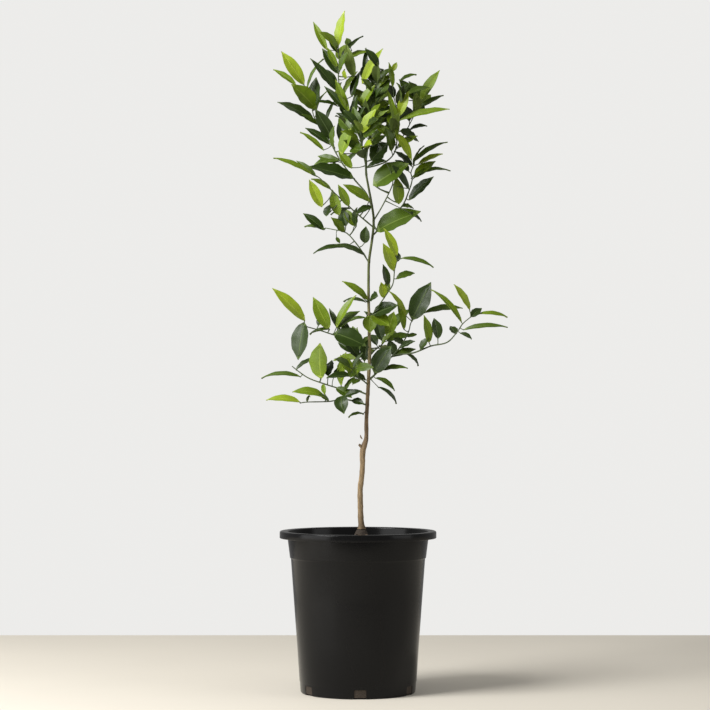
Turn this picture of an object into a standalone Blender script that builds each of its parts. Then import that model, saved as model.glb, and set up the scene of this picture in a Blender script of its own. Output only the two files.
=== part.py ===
"""A young grafted tangerine tree in a black nursery pot, built as separate closed solids.

Sizes are in millimetres and become metres in the meshes. +Z is up, +X is to the right and -Y is
the front. The origin is the centre of the pot's flat underside.
"""

import math
import random
from collections import namedtuple

import bmesh
import bpy
from mathutils import Matrix, Vector, geometry, noise

MM = 0.001
GAP = 0.3

POT_HEIGHT = 287.0
POT_WALL = 2.0
POT_SIDES = 36
BASE_RADIUS = 102.4
BASE_CORNER = 3.0
FOOT_STEP_HEIGHT = 20.0
FOOT_STEP = 0.5
SHOULDER_HEIGHT = 238.0
SHOULDER_RADIUS = 119.9
SHOULDER_STEP = 1.5
NECK_RADIUS = 125.9
RIM_RADIUS = 140.0
LIP_DROP = 12.5
RIM_ROUND = 2.5

SLOT_COUNT = 6
SLOT_WIDTH = 21.5
SLOT_HEIGHT = 16.5
SLOT_DEPTH = 12.0
FIRST_SLOT = -88.0

SOIL_TOP = 266.0
SOIL_RINGS = (0.93, 0.70, 0.45)
SOIL_FLAT = 26.0
SOIL_LUMP = 1.2
COLLAR_RADIUS = 18.0
COLLAR_NECK = 8.6
GROUND = 290.0

TRUNK_SIDES = 8
BOUGH_SIDES = 6
STUB_AT = (7.4, -1.0, 437.0)
STUB_TO = (1.6, -2.6, 441.5)
STUB_RADIUS = 2.2

MASS_GAP = 1.5
MASS_FULLNESS = 1.12
MASS_UNEVEN = 0.34
SPIKE_REACH = (1.35, 1.9)

Limb = namedtuple("Limb", "parent route base_radius tip_radius")
Mass = namedtuple("Mass", "centre core tips spikes")
Finish = namedtuple("Finish", "colour roughness")

FINISHES = {
    "pot": Finish((0.012, 0.012, 0.013), 0.32),
    "soil": Finish((0.035, 0.024, 0.017), 0.95),
    "bark": Finish((0.30, 0.21, 0.12), 0.75),
    "shoot": Finish((0.10, 0.14, 0.03), 0.6),
    "foliage": Finish((0.10, 0.19, 0.02), 0.5),
}

# The trunk's centre line from the soil to its fork, and its radius at each point: root flare,
# rootstock, the swollen graft union at 439, and the slim scion above it.
TRUNK = (
    ((6, 0, 290.3), 7.6),
    ((6, 0, 296), 5.8),
    ((5, 0, 308), 5.0),
    ((4, 1, 342), 4.8),
    ((5, 1, 378), 4.7),
    ((8, 0, 404), 4.6),
    ((8, 0, 430), 5.1),
    ((12, 0, 442), 4.7),
    ((15, 0, 454), 3.7),
    ((15, 0, 485), 3.5),
    ((19, 1, 560), 3.2),
    ((21, 2, 607), 2.9),
    ((20, 2, 668), 2.7),
    ((19, 0, 743), 2.4),
    ((20, -1, 773), 2.4),
    ((26, -2, 813), 2.2),
    ((28, -2, 845), 2.1),
    ((24, 0, 875), 2.0),
    ((17, 1, 915), 1.9),
    ((15, 2, 945), 1.7),
    ((8, 2, 970), 1.5),
)

LIMBS = {
    "bough_low_left_front": Limb(
        "trunk", ((16, 0, 512), (-8, -10, 519), (-30, -18, 522), (-52, -26, 518), (-86, -35, 518)), 1.5, 1.0
    ),
    "bough_low_left_back": Limb(
        "trunk", ((17, 0, 531), (-4, 9, 538), (-31, 14, 541), (-70, 22, 553), (-88, 25, 560)), 1.5, 1.0
    ),
    "bough_low_front": Limb("trunk", ((18, 0, 548), (8, -16, 556), (-4, -25, 558), (-11, -30, 553)), 1.3, 0.9),
    "bough_low_back": Limb("trunk", ((20, 1, 572), (12, 16, 584), (2, 27, 589), (-5, 32, 588)), 1.3, 0.9),
    "bough_low_right": Limb(
        "trunk",
        ((19, 1, 556), (35, 0, 571), (61, 2, 599), (99, -8, 605), (130, -16, 617), (158, -24, 623),
         (175, -28, 640), (190, -31, 660)),
        1.9,
        0.9,
    ),
    "bough_low_right_rise": Limb(
        "bough_low_right", ((58, 2, 596), (72, 6, 613), (86, 12, 633), (94, 17, 658)), 1.3, 0.9
    ),
    "bough_mid_left": Limb("trunk", ((20, 1, 614), (-10, -12, 628), (-44, -22, 637), (-88, -30, 650)), 1.4, 0.9),
    "bough_mid_right": Limb(
        "trunk", ((20, 2, 666), (32, -9, 682), (50, -22, 708), (62, -28, 729), (64, -31, 754)), 1.4, 0.9
    ),
    "bough_fan_left": Limb("trunk", ((19, 0, 768), (2, 5, 795), (-20, 14, 821), (-42, 23, 828)), 1.3, 0.9),
    "bough_high_left": Limb("trunk", ((27, -2, 826), (-2, -14, 854), (-16, -22, 866), (-46, -38, 892)), 1.4, 0.9),
    "bough_high_right_front": Limb("trunk", ((28, -2, 842), (45, -18, 870), (58, -33, 898)), 1.3, 0.9),
    "bough_high_right_back": Limb(
        "trunk", ((26, -2, 815), (52, 8, 843), (79, 20, 868), (91, 30, 896), (98, 36, 916)), 1.6, 0.9
    ),
    "bough_crown_left": Limb(
        "trunk",
        ((24, 0, 870), (12, 7, 895), (-4, 14, 915), (-18, 20, 934), (-34, 27, 957), (-51, 35, 989),
         (-68, 41, 1018), (-88, 46, 1056)),
        1.7,
        0.9,
    ),
    "bough_crown_front": Limb("trunk", ((16, 1, 925), (13, -16, 944), (10, -34, 960), (8, -46, 970)), 1.3, 0.9),
    "bough_crown_right": Limb(
        "trunk", ((15, 1, 938), (32, -5, 941), (52, -8, 949), (66, -7, 966), (71, -8, 1000), (77, -11, 1034)), 1.5, 0.9
    ),
    "bough_crown_back": Limb("trunk", ((14, 2, 950), (18, 14, 984), (22, 32, 1012), (25, 52, 1032)), 1.4, 0.9),
    "leader": Limb(
        "trunk",
        ((9, 2, 966), (4, 0, 990), (-4, -2, 1006), (-18, -6, 1037), (-28, -8, 1066), (-35, -8, 1095), (-34, -6, 1126)),
        1.45,
        0.9,
    ),
}

# Each mass of foliage: its centre, the half sizes of its core, the tips of its furthest leaves,
# and how many more spikes break its outline.
MASSES = {
    "foliage_low_left_front": Mass(
        (-105, -38, 524), (38, 14, 9), ((-168, -46, 520), (-119, -36, 540), (-48, -34, 531)), 4
    ),
    "foliage_low_left_back": Mass(
        (-87, 26, 577), (28, 18, 22), ((-175, 40, 560), (-68, 18, 625), (-121, 36, 590)), 6
    ),
    "foliage_low_front": Mass((-16, -34, 544), (18, 22, 24), ((-25, -52, 496), (-39, -50, 570), (7, -84, 580)), 7),
    "foliage_low_back": Mass((-9, 38, 592), (20, 24, 22), ((-40, 60, 612), (15, 96, 582), (-14, 50, 634)), 7),
    "foliage_low_right_inner": Mass(
        (52, -12, 571), (17, 19, 19), ((59, -30, 618), (91, -4, 578), (66, -20, 533), (70, 10, 514)), 5
    ),
    "foliage_low_right_rise": Mass(
        (95, 18, 676), (18, 16, 22), ((131, 10, 735), (190, 40, 690), (52, 20, 721), (113, 4, 636)), 5
    ),
    "foliage_low_right_mid": Mass((125, -14, 632), (12, 11, 17), ((119, -20, 674), (146, 0, 664), (103, -36, 613)), 4),
    "foliage_low_right_tip": Mass(
        (200, -33, 666), (25, 14, 12), ((168, -40, 728), (269, -28, 668), (267, -50, 648), (206, -30, 626), (140, -22, 716)), 4
    ),
    "foliage_mid_left_outer": Mass(
        (-98, -32, 652), (15, 14, 27), ((-152, -44, 720), (-106, -34, 592), (-75, -20, 704)), 5
    ),
    "foliage_mid_left_inner": Mass(
        (-39, -20, 649), (23, 18, 19), ((-62, -50, 700), (-6, -14, 698), (6, -36, 620)), 6
    ),
    "foliage_mid_left_high": Mass((8, -9, 710), (15, 13, 8), ((-30, -22, 736), (44, -26, 706)), 3),
    "foliage_mid_right_low": Mass((46, -22, 676), (16, 14, 17), ((73, -36, 691), (35, -40, 638), (85, -20, 640)), 5),
    "foliage_mid_right_high": Mass(
        (59, -32, 768), (12, 12, 19), ((46, -36, 826), (137, -20, 758), (102, -56, 745), (36, -52, 752)), 4
    ),
    "foliage_fan_left": Mass((-54, 28, 833), (24, 18, 20), ((-100, 44, 858), (-83, 20, 786), (-30, 40, 872)), 6),
    "foliage_high_left": Mass(
        (-53, -44, 886), (18, 16, 22), ((-86, -66, 905), (-64, -60, 840), (-148, -66, 949)), 5
    ),
    "foliage_right_broad": Mass((71, 0, 846), (25, 17, 13), ((115, 10, 858), (40, -28, 826), (62, -34, 818)), 4),
    "foliage_high_right_front": Mass(
        (62, -42, 909), (19, 14, 17), ((25, -62, 901), (94, -58, 940), (82, -46, 872)), 5
    ),
    "foliage_crown_right_outer": Mass(
        (106, 38, 926), (14, 13, 19), ((170, 46, 937), (150, 30, 960), (92, 58, 882)), 5
    ),
    "foliage_crown_left_low": Mass(
        (-40, 14, 940), (27, 23, 17), ((-95, 20, 953), (-71, -24, 962), (-26, 52, 930)), 7
    ),
    "foliage_crown_left_mid": Mass(
        (-46, 32, 1003), (21, 20, 23), ((-104, 66, 1012), (-56, 76, 1040), (-24, 12, 1042)), 6
    ),
    "foliage_crown_left_outer": Mass(
        (-98, 48, 1068), (26, 20, 23), ((-142, 60, 1159), (-155, 66, 1128), (-148, 40, 1060), (-61, 40, 1140)), 6
    ),
    "foliage_crown_front": Mass((7, -62, 986), (25, 27, 29), ((30, -88, 1046), (-42, -92, 966), (14, -128, 1000)), 9),
    "foliage_crown_right_mid": Mass((74, 14, 986), (25, 24, 19), ((164, 20, 985), (89, -34, 958), (124, 66, 1004)), 7),
    "foliage_crown_back": Mass((26, 74, 1046), (26, 26, 32), ((4, 118, 1104), (54, 128, 1030), (-15, 104, 998)), 9),
    "foliage_crown_right_upper": Mass(
        (89, -8, 1052), (27, 27, 27), ((68, -24, 1126), (149, 0, 1113), (160, 26, 1072), (166, -12, 1042), (88, -66, 1060)), 8
    ),
    "foliage_crown_centre": Mass(
        (-4, -10, 1070), (23, 25, 31), ((-22, -24, 1158), (46, -4, 1154), (-6, -64, 1110)), 9
    ),
    "foliage_crown_top": Mass(
        (-32, -6, 1145), (12, 14, 25), ((-23, -8, 1220), (-82, -14, 1200), (11, 6, 1180), (-70, 14, 1156), (-84, -34, 1124)), 5
    ),
}


def clear_scene():
    """Removes every object that the open file holds."""
    for item in list(bpy.data.objects):
        bpy.data.objects.remove(item)


def finish(name):
    """Returns the Principled material of that name."""
    material = bpy.data.materials.get(name) or bpy.data.materials.new(name)
    material.use_nodes = True
    shader = material.node_tree.nodes["Principled BSDF"]
    shader.inputs["Base Color"].default_value = (*FINISHES[name].colour, 1.0)
    shader.inputs["Roughness"].default_value = FINISHES[name].roughness
    shader.inputs["Metallic"].default_value = 0.0
    return material


def place(name, mesh, material):
    """Links a finished mesh as one named object with its own material."""
    item = bpy.data.objects.new(name, mesh)
    bpy.context.scene.collection.objects.link(item)
    mesh.materials.clear()
    mesh.materials.append(finish(material))
    return item


def as_object(name, shape, material, smooth=True):
    """Turns a bmesh in millimetres into a named object in metres."""
    bmesh.ops.scale(shape, verts=shape.verts, vec=(MM, MM, MM))
    bmesh.ops.recalc_face_normals(shape, faces=shape.faces)
    mesh = bpy.data.meshes.new(name)
    shape.to_mesh(mesh)
    shape.free()
    if smooth:
        mesh.shade_smooth()
        mesh.set_sharp_from_angle(angle=math.radians(35))
    return place(name, mesh, material)


def settled(item):
    """Applies an object's modifiers, or a curve's bevel, and returns the mesh."""
    graph = bpy.context.evaluated_depsgraph_get()
    graph.update()
    return bpy.data.meshes.new_from_object(item.evaluated_get(graph))


def islands(shape):
    """Returns the groups of joined vertices in a bmesh, largest first."""
    left, groups = set(shape.verts), []
    while left:
        group, edge = set(), [left.pop()]
        while edge:
            vertex = edge.pop()
            group.add(vertex)
            near = [link.other_vert(vertex) for link in vertex.link_edges]
            fresh = [other for other in near if other in left]
            left.difference_update(fresh)
            edge.extend(fresh)
        groups.append(group)
    return sorted(groups, key=len, reverse=True)


def carve(item, tools):
    """Cuts the tools out of an object and keeps the largest piece that is left."""
    for tool in tools:
        cut = item.modifiers.new(tool.name, "BOOLEAN")
        cut.operation = "DIFFERENCE"
        cut.solver = "EXACT"
        cut.object = tool
    mesh = settled(item)
    item.modifiers.clear()
    shape = bmesh.new()
    shape.from_mesh(mesh)
    bmesh.ops.remove_doubles(shape, verts=shape.verts, dist=0.02 * MM)
    bmesh.ops.dissolve_degenerate(shape, edges=shape.edges, dist=0.02 * MM)
    for crumb in islands(shape)[1:]:
        bmesh.ops.delete(shape, geom=list(crumb), context="VERTS")
    shape.to_mesh(mesh)
    shape.free()
    item.data = mesh


def corners(item):
    """Returns an object's lowest and highest corners."""
    points = [vertex.co for vertex in item.data.vertices]
    low = Vector(min(point[axis] for point in points) for axis in range(3))
    high = Vector(max(point[axis] for point in points) for axis in range(3))
    return low, high


def near(item, tool):
    """Tells whether two objects' boxes meet."""
    (low, high), (tool_low, tool_high) = corners(item), corners(tool)
    return all(low[axis] < tool_high[axis] and tool_low[axis] < high[axis] for axis in range(3))


def turned(outline, sides):
    """Spins an outline of (radius, height) points once round Z."""
    shape = bmesh.new()
    points = [shape.verts.new((radius, 0, height)) for radius, height in outline]
    edges = [shape.edges.new(pair) for pair in zip(points, points[1:])]
    bmesh.ops.spin(
        shape, geom=points + edges, cent=(0, 0, 0), axis=(0, 0, 1), angle=math.tau, steps=sides, use_merge=True
    )
    bmesh.ops.remove_doubles(shape, verts=shape.verts, dist=0.01)
    return shape


def arc(radius, height, size, start, end, steps):
    """Returns points on a circle of that size, angles in degrees from +X towards +Z."""
    turns = [math.radians(start + (end - start) * step / steps) for step in range(steps + 1)]
    return [(radius + size * math.cos(turn), height + size * math.sin(turn)) for turn in turns]


def wall_radius(height):
    """Returns the pot's outer radius at a height below its shoulder."""
    return BASE_RADIUS + (SHOULDER_RADIUS - BASE_RADIUS) * height / SHOULDER_HEIGHT


def pot_outline():
    """Returns the pot's section: underside, outer wall, down-turned rim, inner wall and floor."""
    shoulder_top = SHOULDER_HEIGHT + SHOULDER_STEP
    shoulder_out = SHOULDER_RADIUS + SHOULDER_STEP
    lip_bottom = POT_HEIGHT - LIP_DROP
    rim_under = POT_HEIGHT - POT_WALL
    outer = [(0, 0)]
    outer += arc(wall_radius(0) - BASE_CORNER, BASE_CORNER, BASE_CORNER, -90, 0, 2)
    outer += [
        (wall_radius(FOOT_STEP_HEIGHT), FOOT_STEP_HEIGHT),
        (wall_radius(FOOT_STEP_HEIGHT) + FOOT_STEP, FOOT_STEP_HEIGHT + FOOT_STEP),
        (SHOULDER_RADIUS, SHOULDER_HEIGHT),
        (shoulder_out, shoulder_top),
        (NECK_RADIUS, lip_bottom),
        (NECK_RADIUS + 0.6, rim_under - 1),
        (NECK_RADIUS + 1.6, rim_under),
        (RIM_RADIUS - POT_WALL - 1, rim_under),
        (RIM_RADIUS - POT_WALL, rim_under - 1),
        (RIM_RADIUS - POT_WALL, lip_bottom),
        (RIM_RADIUS, lip_bottom),
    ]
    outer += arc(RIM_RADIUS - RIM_ROUND, POT_HEIGHT - RIM_ROUND, RIM_ROUND, 0, 90, 2)
    inner = [
        (NECK_RADIUS + 1.0, POT_HEIGHT),
        (NECK_RADIUS - POT_WALL + 0.8, POT_HEIGHT - 2.5),
        (NECK_RADIUS - POT_WALL, lip_bottom),
        (shoulder_out - POT_WALL, shoulder_top),
        (SHOULDER_RADIUS - POT_WALL, SHOULDER_HEIGHT),
        (wall_radius(FOOT_STEP_HEIGHT) - POT_WALL + FOOT_STEP, FOOT_STEP_HEIGHT + FOOT_STEP),
        (wall_radius(POT_WALL) - POT_WALL - 1, POT_WALL),
        (0, POT_WALL),
    ]
    return outer + inner


def slot_cutter():
    """Returns the boxes that cut the drainage slots through the pot's bottom corner."""
    shape = bmesh.new()
    middle = BASE_RADIUS + 4.0 - SLOT_DEPTH / 2
    for index in range(SLOT_COUNT):
        block = bmesh.ops.create_cube(shape, size=1.0)["verts"]
        bmesh.ops.scale(shape, verts=block, vec=(SLOT_DEPTH, SLOT_WIDTH, SLOT_HEIGHT * 2))
        bmesh.ops.translate(shape, verts=block, vec=(middle, 0, 0))
        turn = Matrix.Rotation(math.radians(FIRST_SLOT + index * 360 / SLOT_COUNT), 3, "Z")
        bmesh.ops.rotate(shape, verts=block, cent=(0, 0, 0), matrix=turn)
    return as_object("slot_cutter", shape, "pot", smooth=False)


def build_pot():
    """Builds the pot: a thin turned shell with its drainage slots cut through."""
    pot = as_object("pot", turned(pot_outline(), POT_SIDES), "pot")
    cutter = slot_cutter()
    carve(pot, [cutter])
    bpy.data.objects.remove(cutter)
    return pot


def build_soil():
    """Builds the bed of potting mix, flat under the collar and slightly lumpy round it."""
    clear = POT_WALL + GAP + 0.1
    top_radius = SHOULDER_RADIUS + SHOULDER_STEP - clear
    top_radius += (NECK_RADIUS - SHOULDER_RADIUS - SHOULDER_STEP) * (SOIL_TOP - SHOULDER_HEIGHT - 3) / (
        POT_HEIGHT - LIP_DROP - SHOULDER_HEIGHT
    )
    outline = [
        (0, clear),
        (wall_radius(clear) - clear - 1.2, clear),
        (wall_radius(FOOT_STEP_HEIGHT) - clear, FOOT_STEP_HEIGHT),
        (SHOULDER_RADIUS - clear, SHOULDER_HEIGHT),
        (top_radius, SOIL_TOP),
    ]
    outline += [(top_radius * ring, SOIL_TOP) for ring in SOIL_RINGS]
    outline += [(SOIL_FLAT, SOIL_TOP), (0, SOIL_TOP)]
    shape = turned(outline, POT_SIDES)
    for vertex in shape.verts:
        radius = math.hypot(vertex.co.x, vertex.co.y)
        if vertex.co.z > SOIL_TOP - 1 and radius > SOIL_FLAT + 1:
            vertex.co.z += SOIL_LUMP * (noise.noise(vertex.co / 17) - 0.5)
    return as_object("soil", shape, "soil")


def build_collar():
    """Builds the raised collar of potting mix round the foot of the stem."""
    low = SOIL_TOP + GAP
    rise = GROUND - low
    outline = [(0, low), (COLLAR_RADIUS, low)]
    for share, spread in ((0.22, 0.93), (0.55, 0.66), (0.86, 0.30)):
        outline.append((COLLAR_NECK + (COLLAR_RADIUS - COLLAR_NECK) * spread, low + rise * share))
    outline += [(COLLAR_NECK, GROUND), (0, GROUND)]
    shape = turned(outline, 14)
    for vertex in shape.verts:
        if low + 1 < vertex.co.z < GROUND - 1:
            swell = 1 + 0.16 * noise.noise(vertex.co / 7)
            vertex.co.x *= swell
            vertex.co.y *= swell
    bmesh.ops.translate(shape, verts=shape.verts, vec=(TRUNK[0][0][0], TRUNK[0][0][1], 0))
    return as_object("soil_collar", shape, "soil")


def through(points, steps):
    """Returns a smooth line through the points, with that many steps from each to the next."""
    knots = [Vector(point) for point in points]
    ends = [2 * knots[0] - knots[1], *knots, 2 * knots[-1] - knots[-2]]
    line = []
    for before, start, end, after in zip(ends, ends[1:], ends[2:], ends[3:]):
        for step in range(steps):
            share = step / steps
            square, cube = share**2, share**3
            line.append(
                0.5
                * (
                    2 * start
                    + (end - before) * share
                    + (2 * before - 5 * start + 4 * end - after) * square
                    + (3 * start - before - 3 * end + after) * cube
                )
            )
    return [*line, knots[-1]]


def limb(name, line, radii, sides, material):
    """Builds one tapering round limb along a line of points, with flat ends."""
    curve = bpy.data.curves.new(name, "CURVE")
    curve.dimensions = "3D"
    curve.bevel_depth = MM
    curve.bevel_resolution = sides // 2 - 2
    curve.use_fill_caps = True
    spline = curve.splines.new("POLY")
    spline.points.add(len(line) - 1)
    for point, place_at, radius in zip(spline.points, line, radii):
        point.co = (*(Vector(place_at) * MM), 1)
        point.radius = radius
    guide = bpy.data.objects.new(name + "_line", curve)
    bpy.context.scene.collection.objects.link(guide)
    mesh = settled(guide)
    bpy.data.objects.remove(guide)
    shape = bmesh.new()
    shape.from_mesh(mesh)
    bmesh.ops.remove_doubles(shape, verts=shape.verts, dist=0.005 * MM)
    bmesh.ops.scale(shape, verts=shape.verts, vec=(1 / MM, 1 / MM, 1 / MM))
    return as_object(name, shape, material)


def trunk_piece(name, grow=0.0):
    """Builds the trunk with its cut stub, or with grow its clearance copy."""
    line = [point for point, radius in TRUNK]
    trunk = limb(name, line, [radius + grow for point, radius in TRUNK], TRUNK_SIDES, "bark")
    stub = limb(name + "_stub", [STUB_AT, STUB_TO], [STUB_RADIUS + 0.6 + grow, STUB_RADIUS + grow], 6, "bark")
    join = trunk.modifiers.new("stub", "BOOLEAN")
    join.operation = "UNION"
    join.solver = "EXACT"
    join.object = stub
    mesh = settled(trunk)
    trunk.modifiers.clear()
    trunk.data = mesh
    bpy.data.objects.remove(stub)
    return trunk


def bough_piece(name, plan, grow=0.0):
    """Builds one bough from its parent limb to the mass that hides it."""
    line = through(plan.route, 2)
    count = len(line) - 1
    radii = [
        plan.base_radius + (plan.tip_radius - plan.base_radius) * index / count + grow for index in range(count + 1)
    ]
    return limb(name, line, radii, BOUGH_SIDES, "shoot")


def spike_tips(plan, rng):
    """Returns the seeded tips that break a mass's outline, most of them pointing up and out."""
    centre, core = Vector(plan.centre), Vector(plan.core)
    outward = Vector((centre.x - 20, centre.y, 0)).normalized()
    tips = []
    for _ in range(plan.spikes):
        aim = Vector([rng.gauss(0, 1) for _ in range(3)]).normalized() + outward * 0.5 + Vector((0, 0, 0.4))
        reach = rng.uniform(*SPIKE_REACH)
        aim.normalize()
        tips.append(centre + Vector(a * c for a, c in zip(aim, core)) * reach)
    return tips


def draw_spike(shape, centre, tip):
    """Pulls the face that a tip lies over out to that tip."""
    aim = tip - centre
    for face in shape.faces:
        ring = [vertex.co - centre for vertex in face.verts]
        hit = geometry.intersect_ray_tri(*ring, aim, Vector(), True)
        if hit and hit.dot(aim) > 0:
            if hit.length < aim.length - 2:
                bmesh.ops.poke(shape, faces=[face])["verts"][0].co = tip
            return


def mass_piece(name, plan, grow=0.0):
    """Builds one mass of foliage: an uneven core with the tips of its leaves drawn out of it."""
    rng = random.Random(name)
    centre, core = Vector(plan.centre), Vector(plan.core) * MASS_FULLNESS
    shift = Vector([rng.uniform(0, 50) for _ in range(3)])
    shape = bmesh.new()
    bmesh.ops.create_icosphere(shape, subdivisions=2, radius=1.0)
    for vertex in shape.verts:
        swell = 1 + MASS_UNEVEN * noise.noise(vertex.co * 1.6 + shift)
        vertex.co = centre + Vector(a * c for a, c in zip(vertex.co, core)) * swell
    for tip in (*plan.tips, *spike_tips(plan, rng)):
        draw_spike(shape, centre, Vector(tip))
    for vertex in shape.verts:
        arm = vertex.co - centre
        vertex.co = centre + arm * (1 + grow / arm.length)
    return as_object(name, shape, "foliage", smooth=False)


def build_boughs():
    """Builds the boughs, each cut to sit on its parent limb, and returns the clearance copies."""
    clear = {"trunk": trunk_piece("trunk_clear", GAP)}
    for name, plan in LIMBS.items():
        bough = bough_piece(name, plan)
        carve(bough, [clear[plan.parent]])
        clear[name] = bough_piece(name + "_clear", plan, GAP + 0.05)
    return clear


def build_foliage(clear):
    """Builds the masses, each cut round the limbs and clear of the masses before it."""
    tools = list(clear.values())
    for name, plan in MASSES.items():
        mass = mass_piece(name, plan)
        carve(mass, [tool for tool in tools if near(mass, tool)])
        tools.append(mass_piece(name + "_clear", plan, MASS_GAP))
    for tool in tools:
        bpy.data.objects.remove(tool)


def main():
    """Builds the pot, the potting mix and the tree."""
    clear_scene()
    build_pot()
    build_soil()
    build_collar()
    trunk_piece("trunk")
    build_foliage(build_boughs())


main()
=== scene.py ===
"""A young grafted tangerine tree in a black nursery pot.

Sizes are in millimetres unless their comment says metres, and the meshes are in metres. Shoots are
named by where they leave the stem. A leaf that the photograph shows is placed by where its foot and
its tip stand in the 710 pixel picture, read through the photograph's own camera, and the rest of the
crown grows from the shoots by a seeded rule.
"""

import logging
import math
import random
from dataclasses import dataclass, field
from enum import Enum
from typing import Any, Iterable, Sequence

import bmesh
import bpy
from mathutils import Matrix, Vector, noise


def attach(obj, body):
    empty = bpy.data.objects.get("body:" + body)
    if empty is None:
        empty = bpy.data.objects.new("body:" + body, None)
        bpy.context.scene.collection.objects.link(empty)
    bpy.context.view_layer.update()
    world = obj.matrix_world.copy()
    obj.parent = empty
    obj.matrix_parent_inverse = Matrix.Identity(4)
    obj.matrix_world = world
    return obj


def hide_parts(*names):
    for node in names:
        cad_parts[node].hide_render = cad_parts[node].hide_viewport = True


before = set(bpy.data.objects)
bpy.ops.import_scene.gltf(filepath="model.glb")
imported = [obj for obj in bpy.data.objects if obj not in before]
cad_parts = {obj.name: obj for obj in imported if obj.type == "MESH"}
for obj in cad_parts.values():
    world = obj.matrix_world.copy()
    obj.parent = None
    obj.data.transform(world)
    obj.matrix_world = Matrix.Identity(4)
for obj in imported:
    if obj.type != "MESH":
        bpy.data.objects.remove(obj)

LOG = logging.getLogger("tangerine")
MM = 0.001
UP = Vector((0, 0, 1))
SHARP_EDGE = math.radians(40)
Point = tuple[float, float, float]
Colour = tuple[float, float, float]
# A point with the radius there.
Knot = tuple[float, float, float, float]


@dataclass(frozen=True)
class Sight:
    """The photograph's camera, which places what the picture shows.

    Attributes:
        scale: Pixels of the picture that a metre takes in the plane of the stem.
        centre: The pixel column that the plane of the stem's origin stands on.
        horizon: The pixel row of the camera's own height.
        height: The camera's height over the floor, in metres.
        distance: The camera's distance from the plane of the stem, in metres.
    """

    scale: float = 558.6
    centre: float = 358.0
    horizon: float = 410.0
    height: float = 0.503
    distance: float = 3.86

    def place(self, column: float, row: float, depth: float) -> Vector:
        """Returns the point in metres that the picture shows at a pixel.

        Args:
            column: Pixel column.
            row: Pixel row.
            depth: Millimetres behind the plane of the stem.

        Returns:
            The point in the row frame.
        """
        away = depth * MM
        spread = (self.distance + away) / self.distance / self.scale
        rise = self.height + (self.horizon - row) * spread
        return Vector(((column - self.centre) * spread, away, rise))

    def seen(self, point: Vector) -> tuple[float, float]:
        """Returns the pixel column and row at which the picture shows a point."""
        spread = self.scale * self.distance / (self.distance + point.y)
        return self.centre + point.x * spread, self.horizon - (point.z - self.height) * spread


SIGHT = Sight()


class Tint(Enum):
    """The greens that leaves are dealt: partly age, from fresh growth to old, and partly painted light and
    shade, with brighter greens for lit leaves, darker ones for shaded leaves and a greyed SHEEN green that
    paints a glossy reflection.
    """

    YOUNG_AND_LIT = "young_and_lit"
    BRIGHT = "bright"
    MID = "mid"
    DARK = "dark"
    SHEEN = "sheen"


class Value:
    """One shader socket that can be used in a Python expression."""

    def __init__(self, sheet: "Sheet", socket: bpy.types.NodeSocket) -> None:
        """Keeps the socket and the sheet that its maths is added to."""
        self.sheet = sheet
        self.socket = socket

    def maths(self, operation: str, *values: Any) -> "Value":
        """Returns the result of one Math node."""
        return self.sheet.node("ShaderNodeMath", {"operation": operation}, dict(enumerate(values)))

    def __add__(self, other: Any) -> "Value":
        """Returns the sum."""
        return self.maths("ADD", self, other)

    __radd__ = __add__

    def __mul__(self, other: Any) -> "Value":
        """Returns the product."""
        return self.maths("MULTIPLY", self, other)

    __rmul__ = __mul__

    def __sub__(self, other: Any) -> "Value":
        """Returns the difference."""
        return self.maths("SUBTRACT", self, other)

    def __rsub__(self, other: Any) -> "Value":
        """Returns the difference with the operands turned round."""
        return self.maths("SUBTRACT", other, self)


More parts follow.
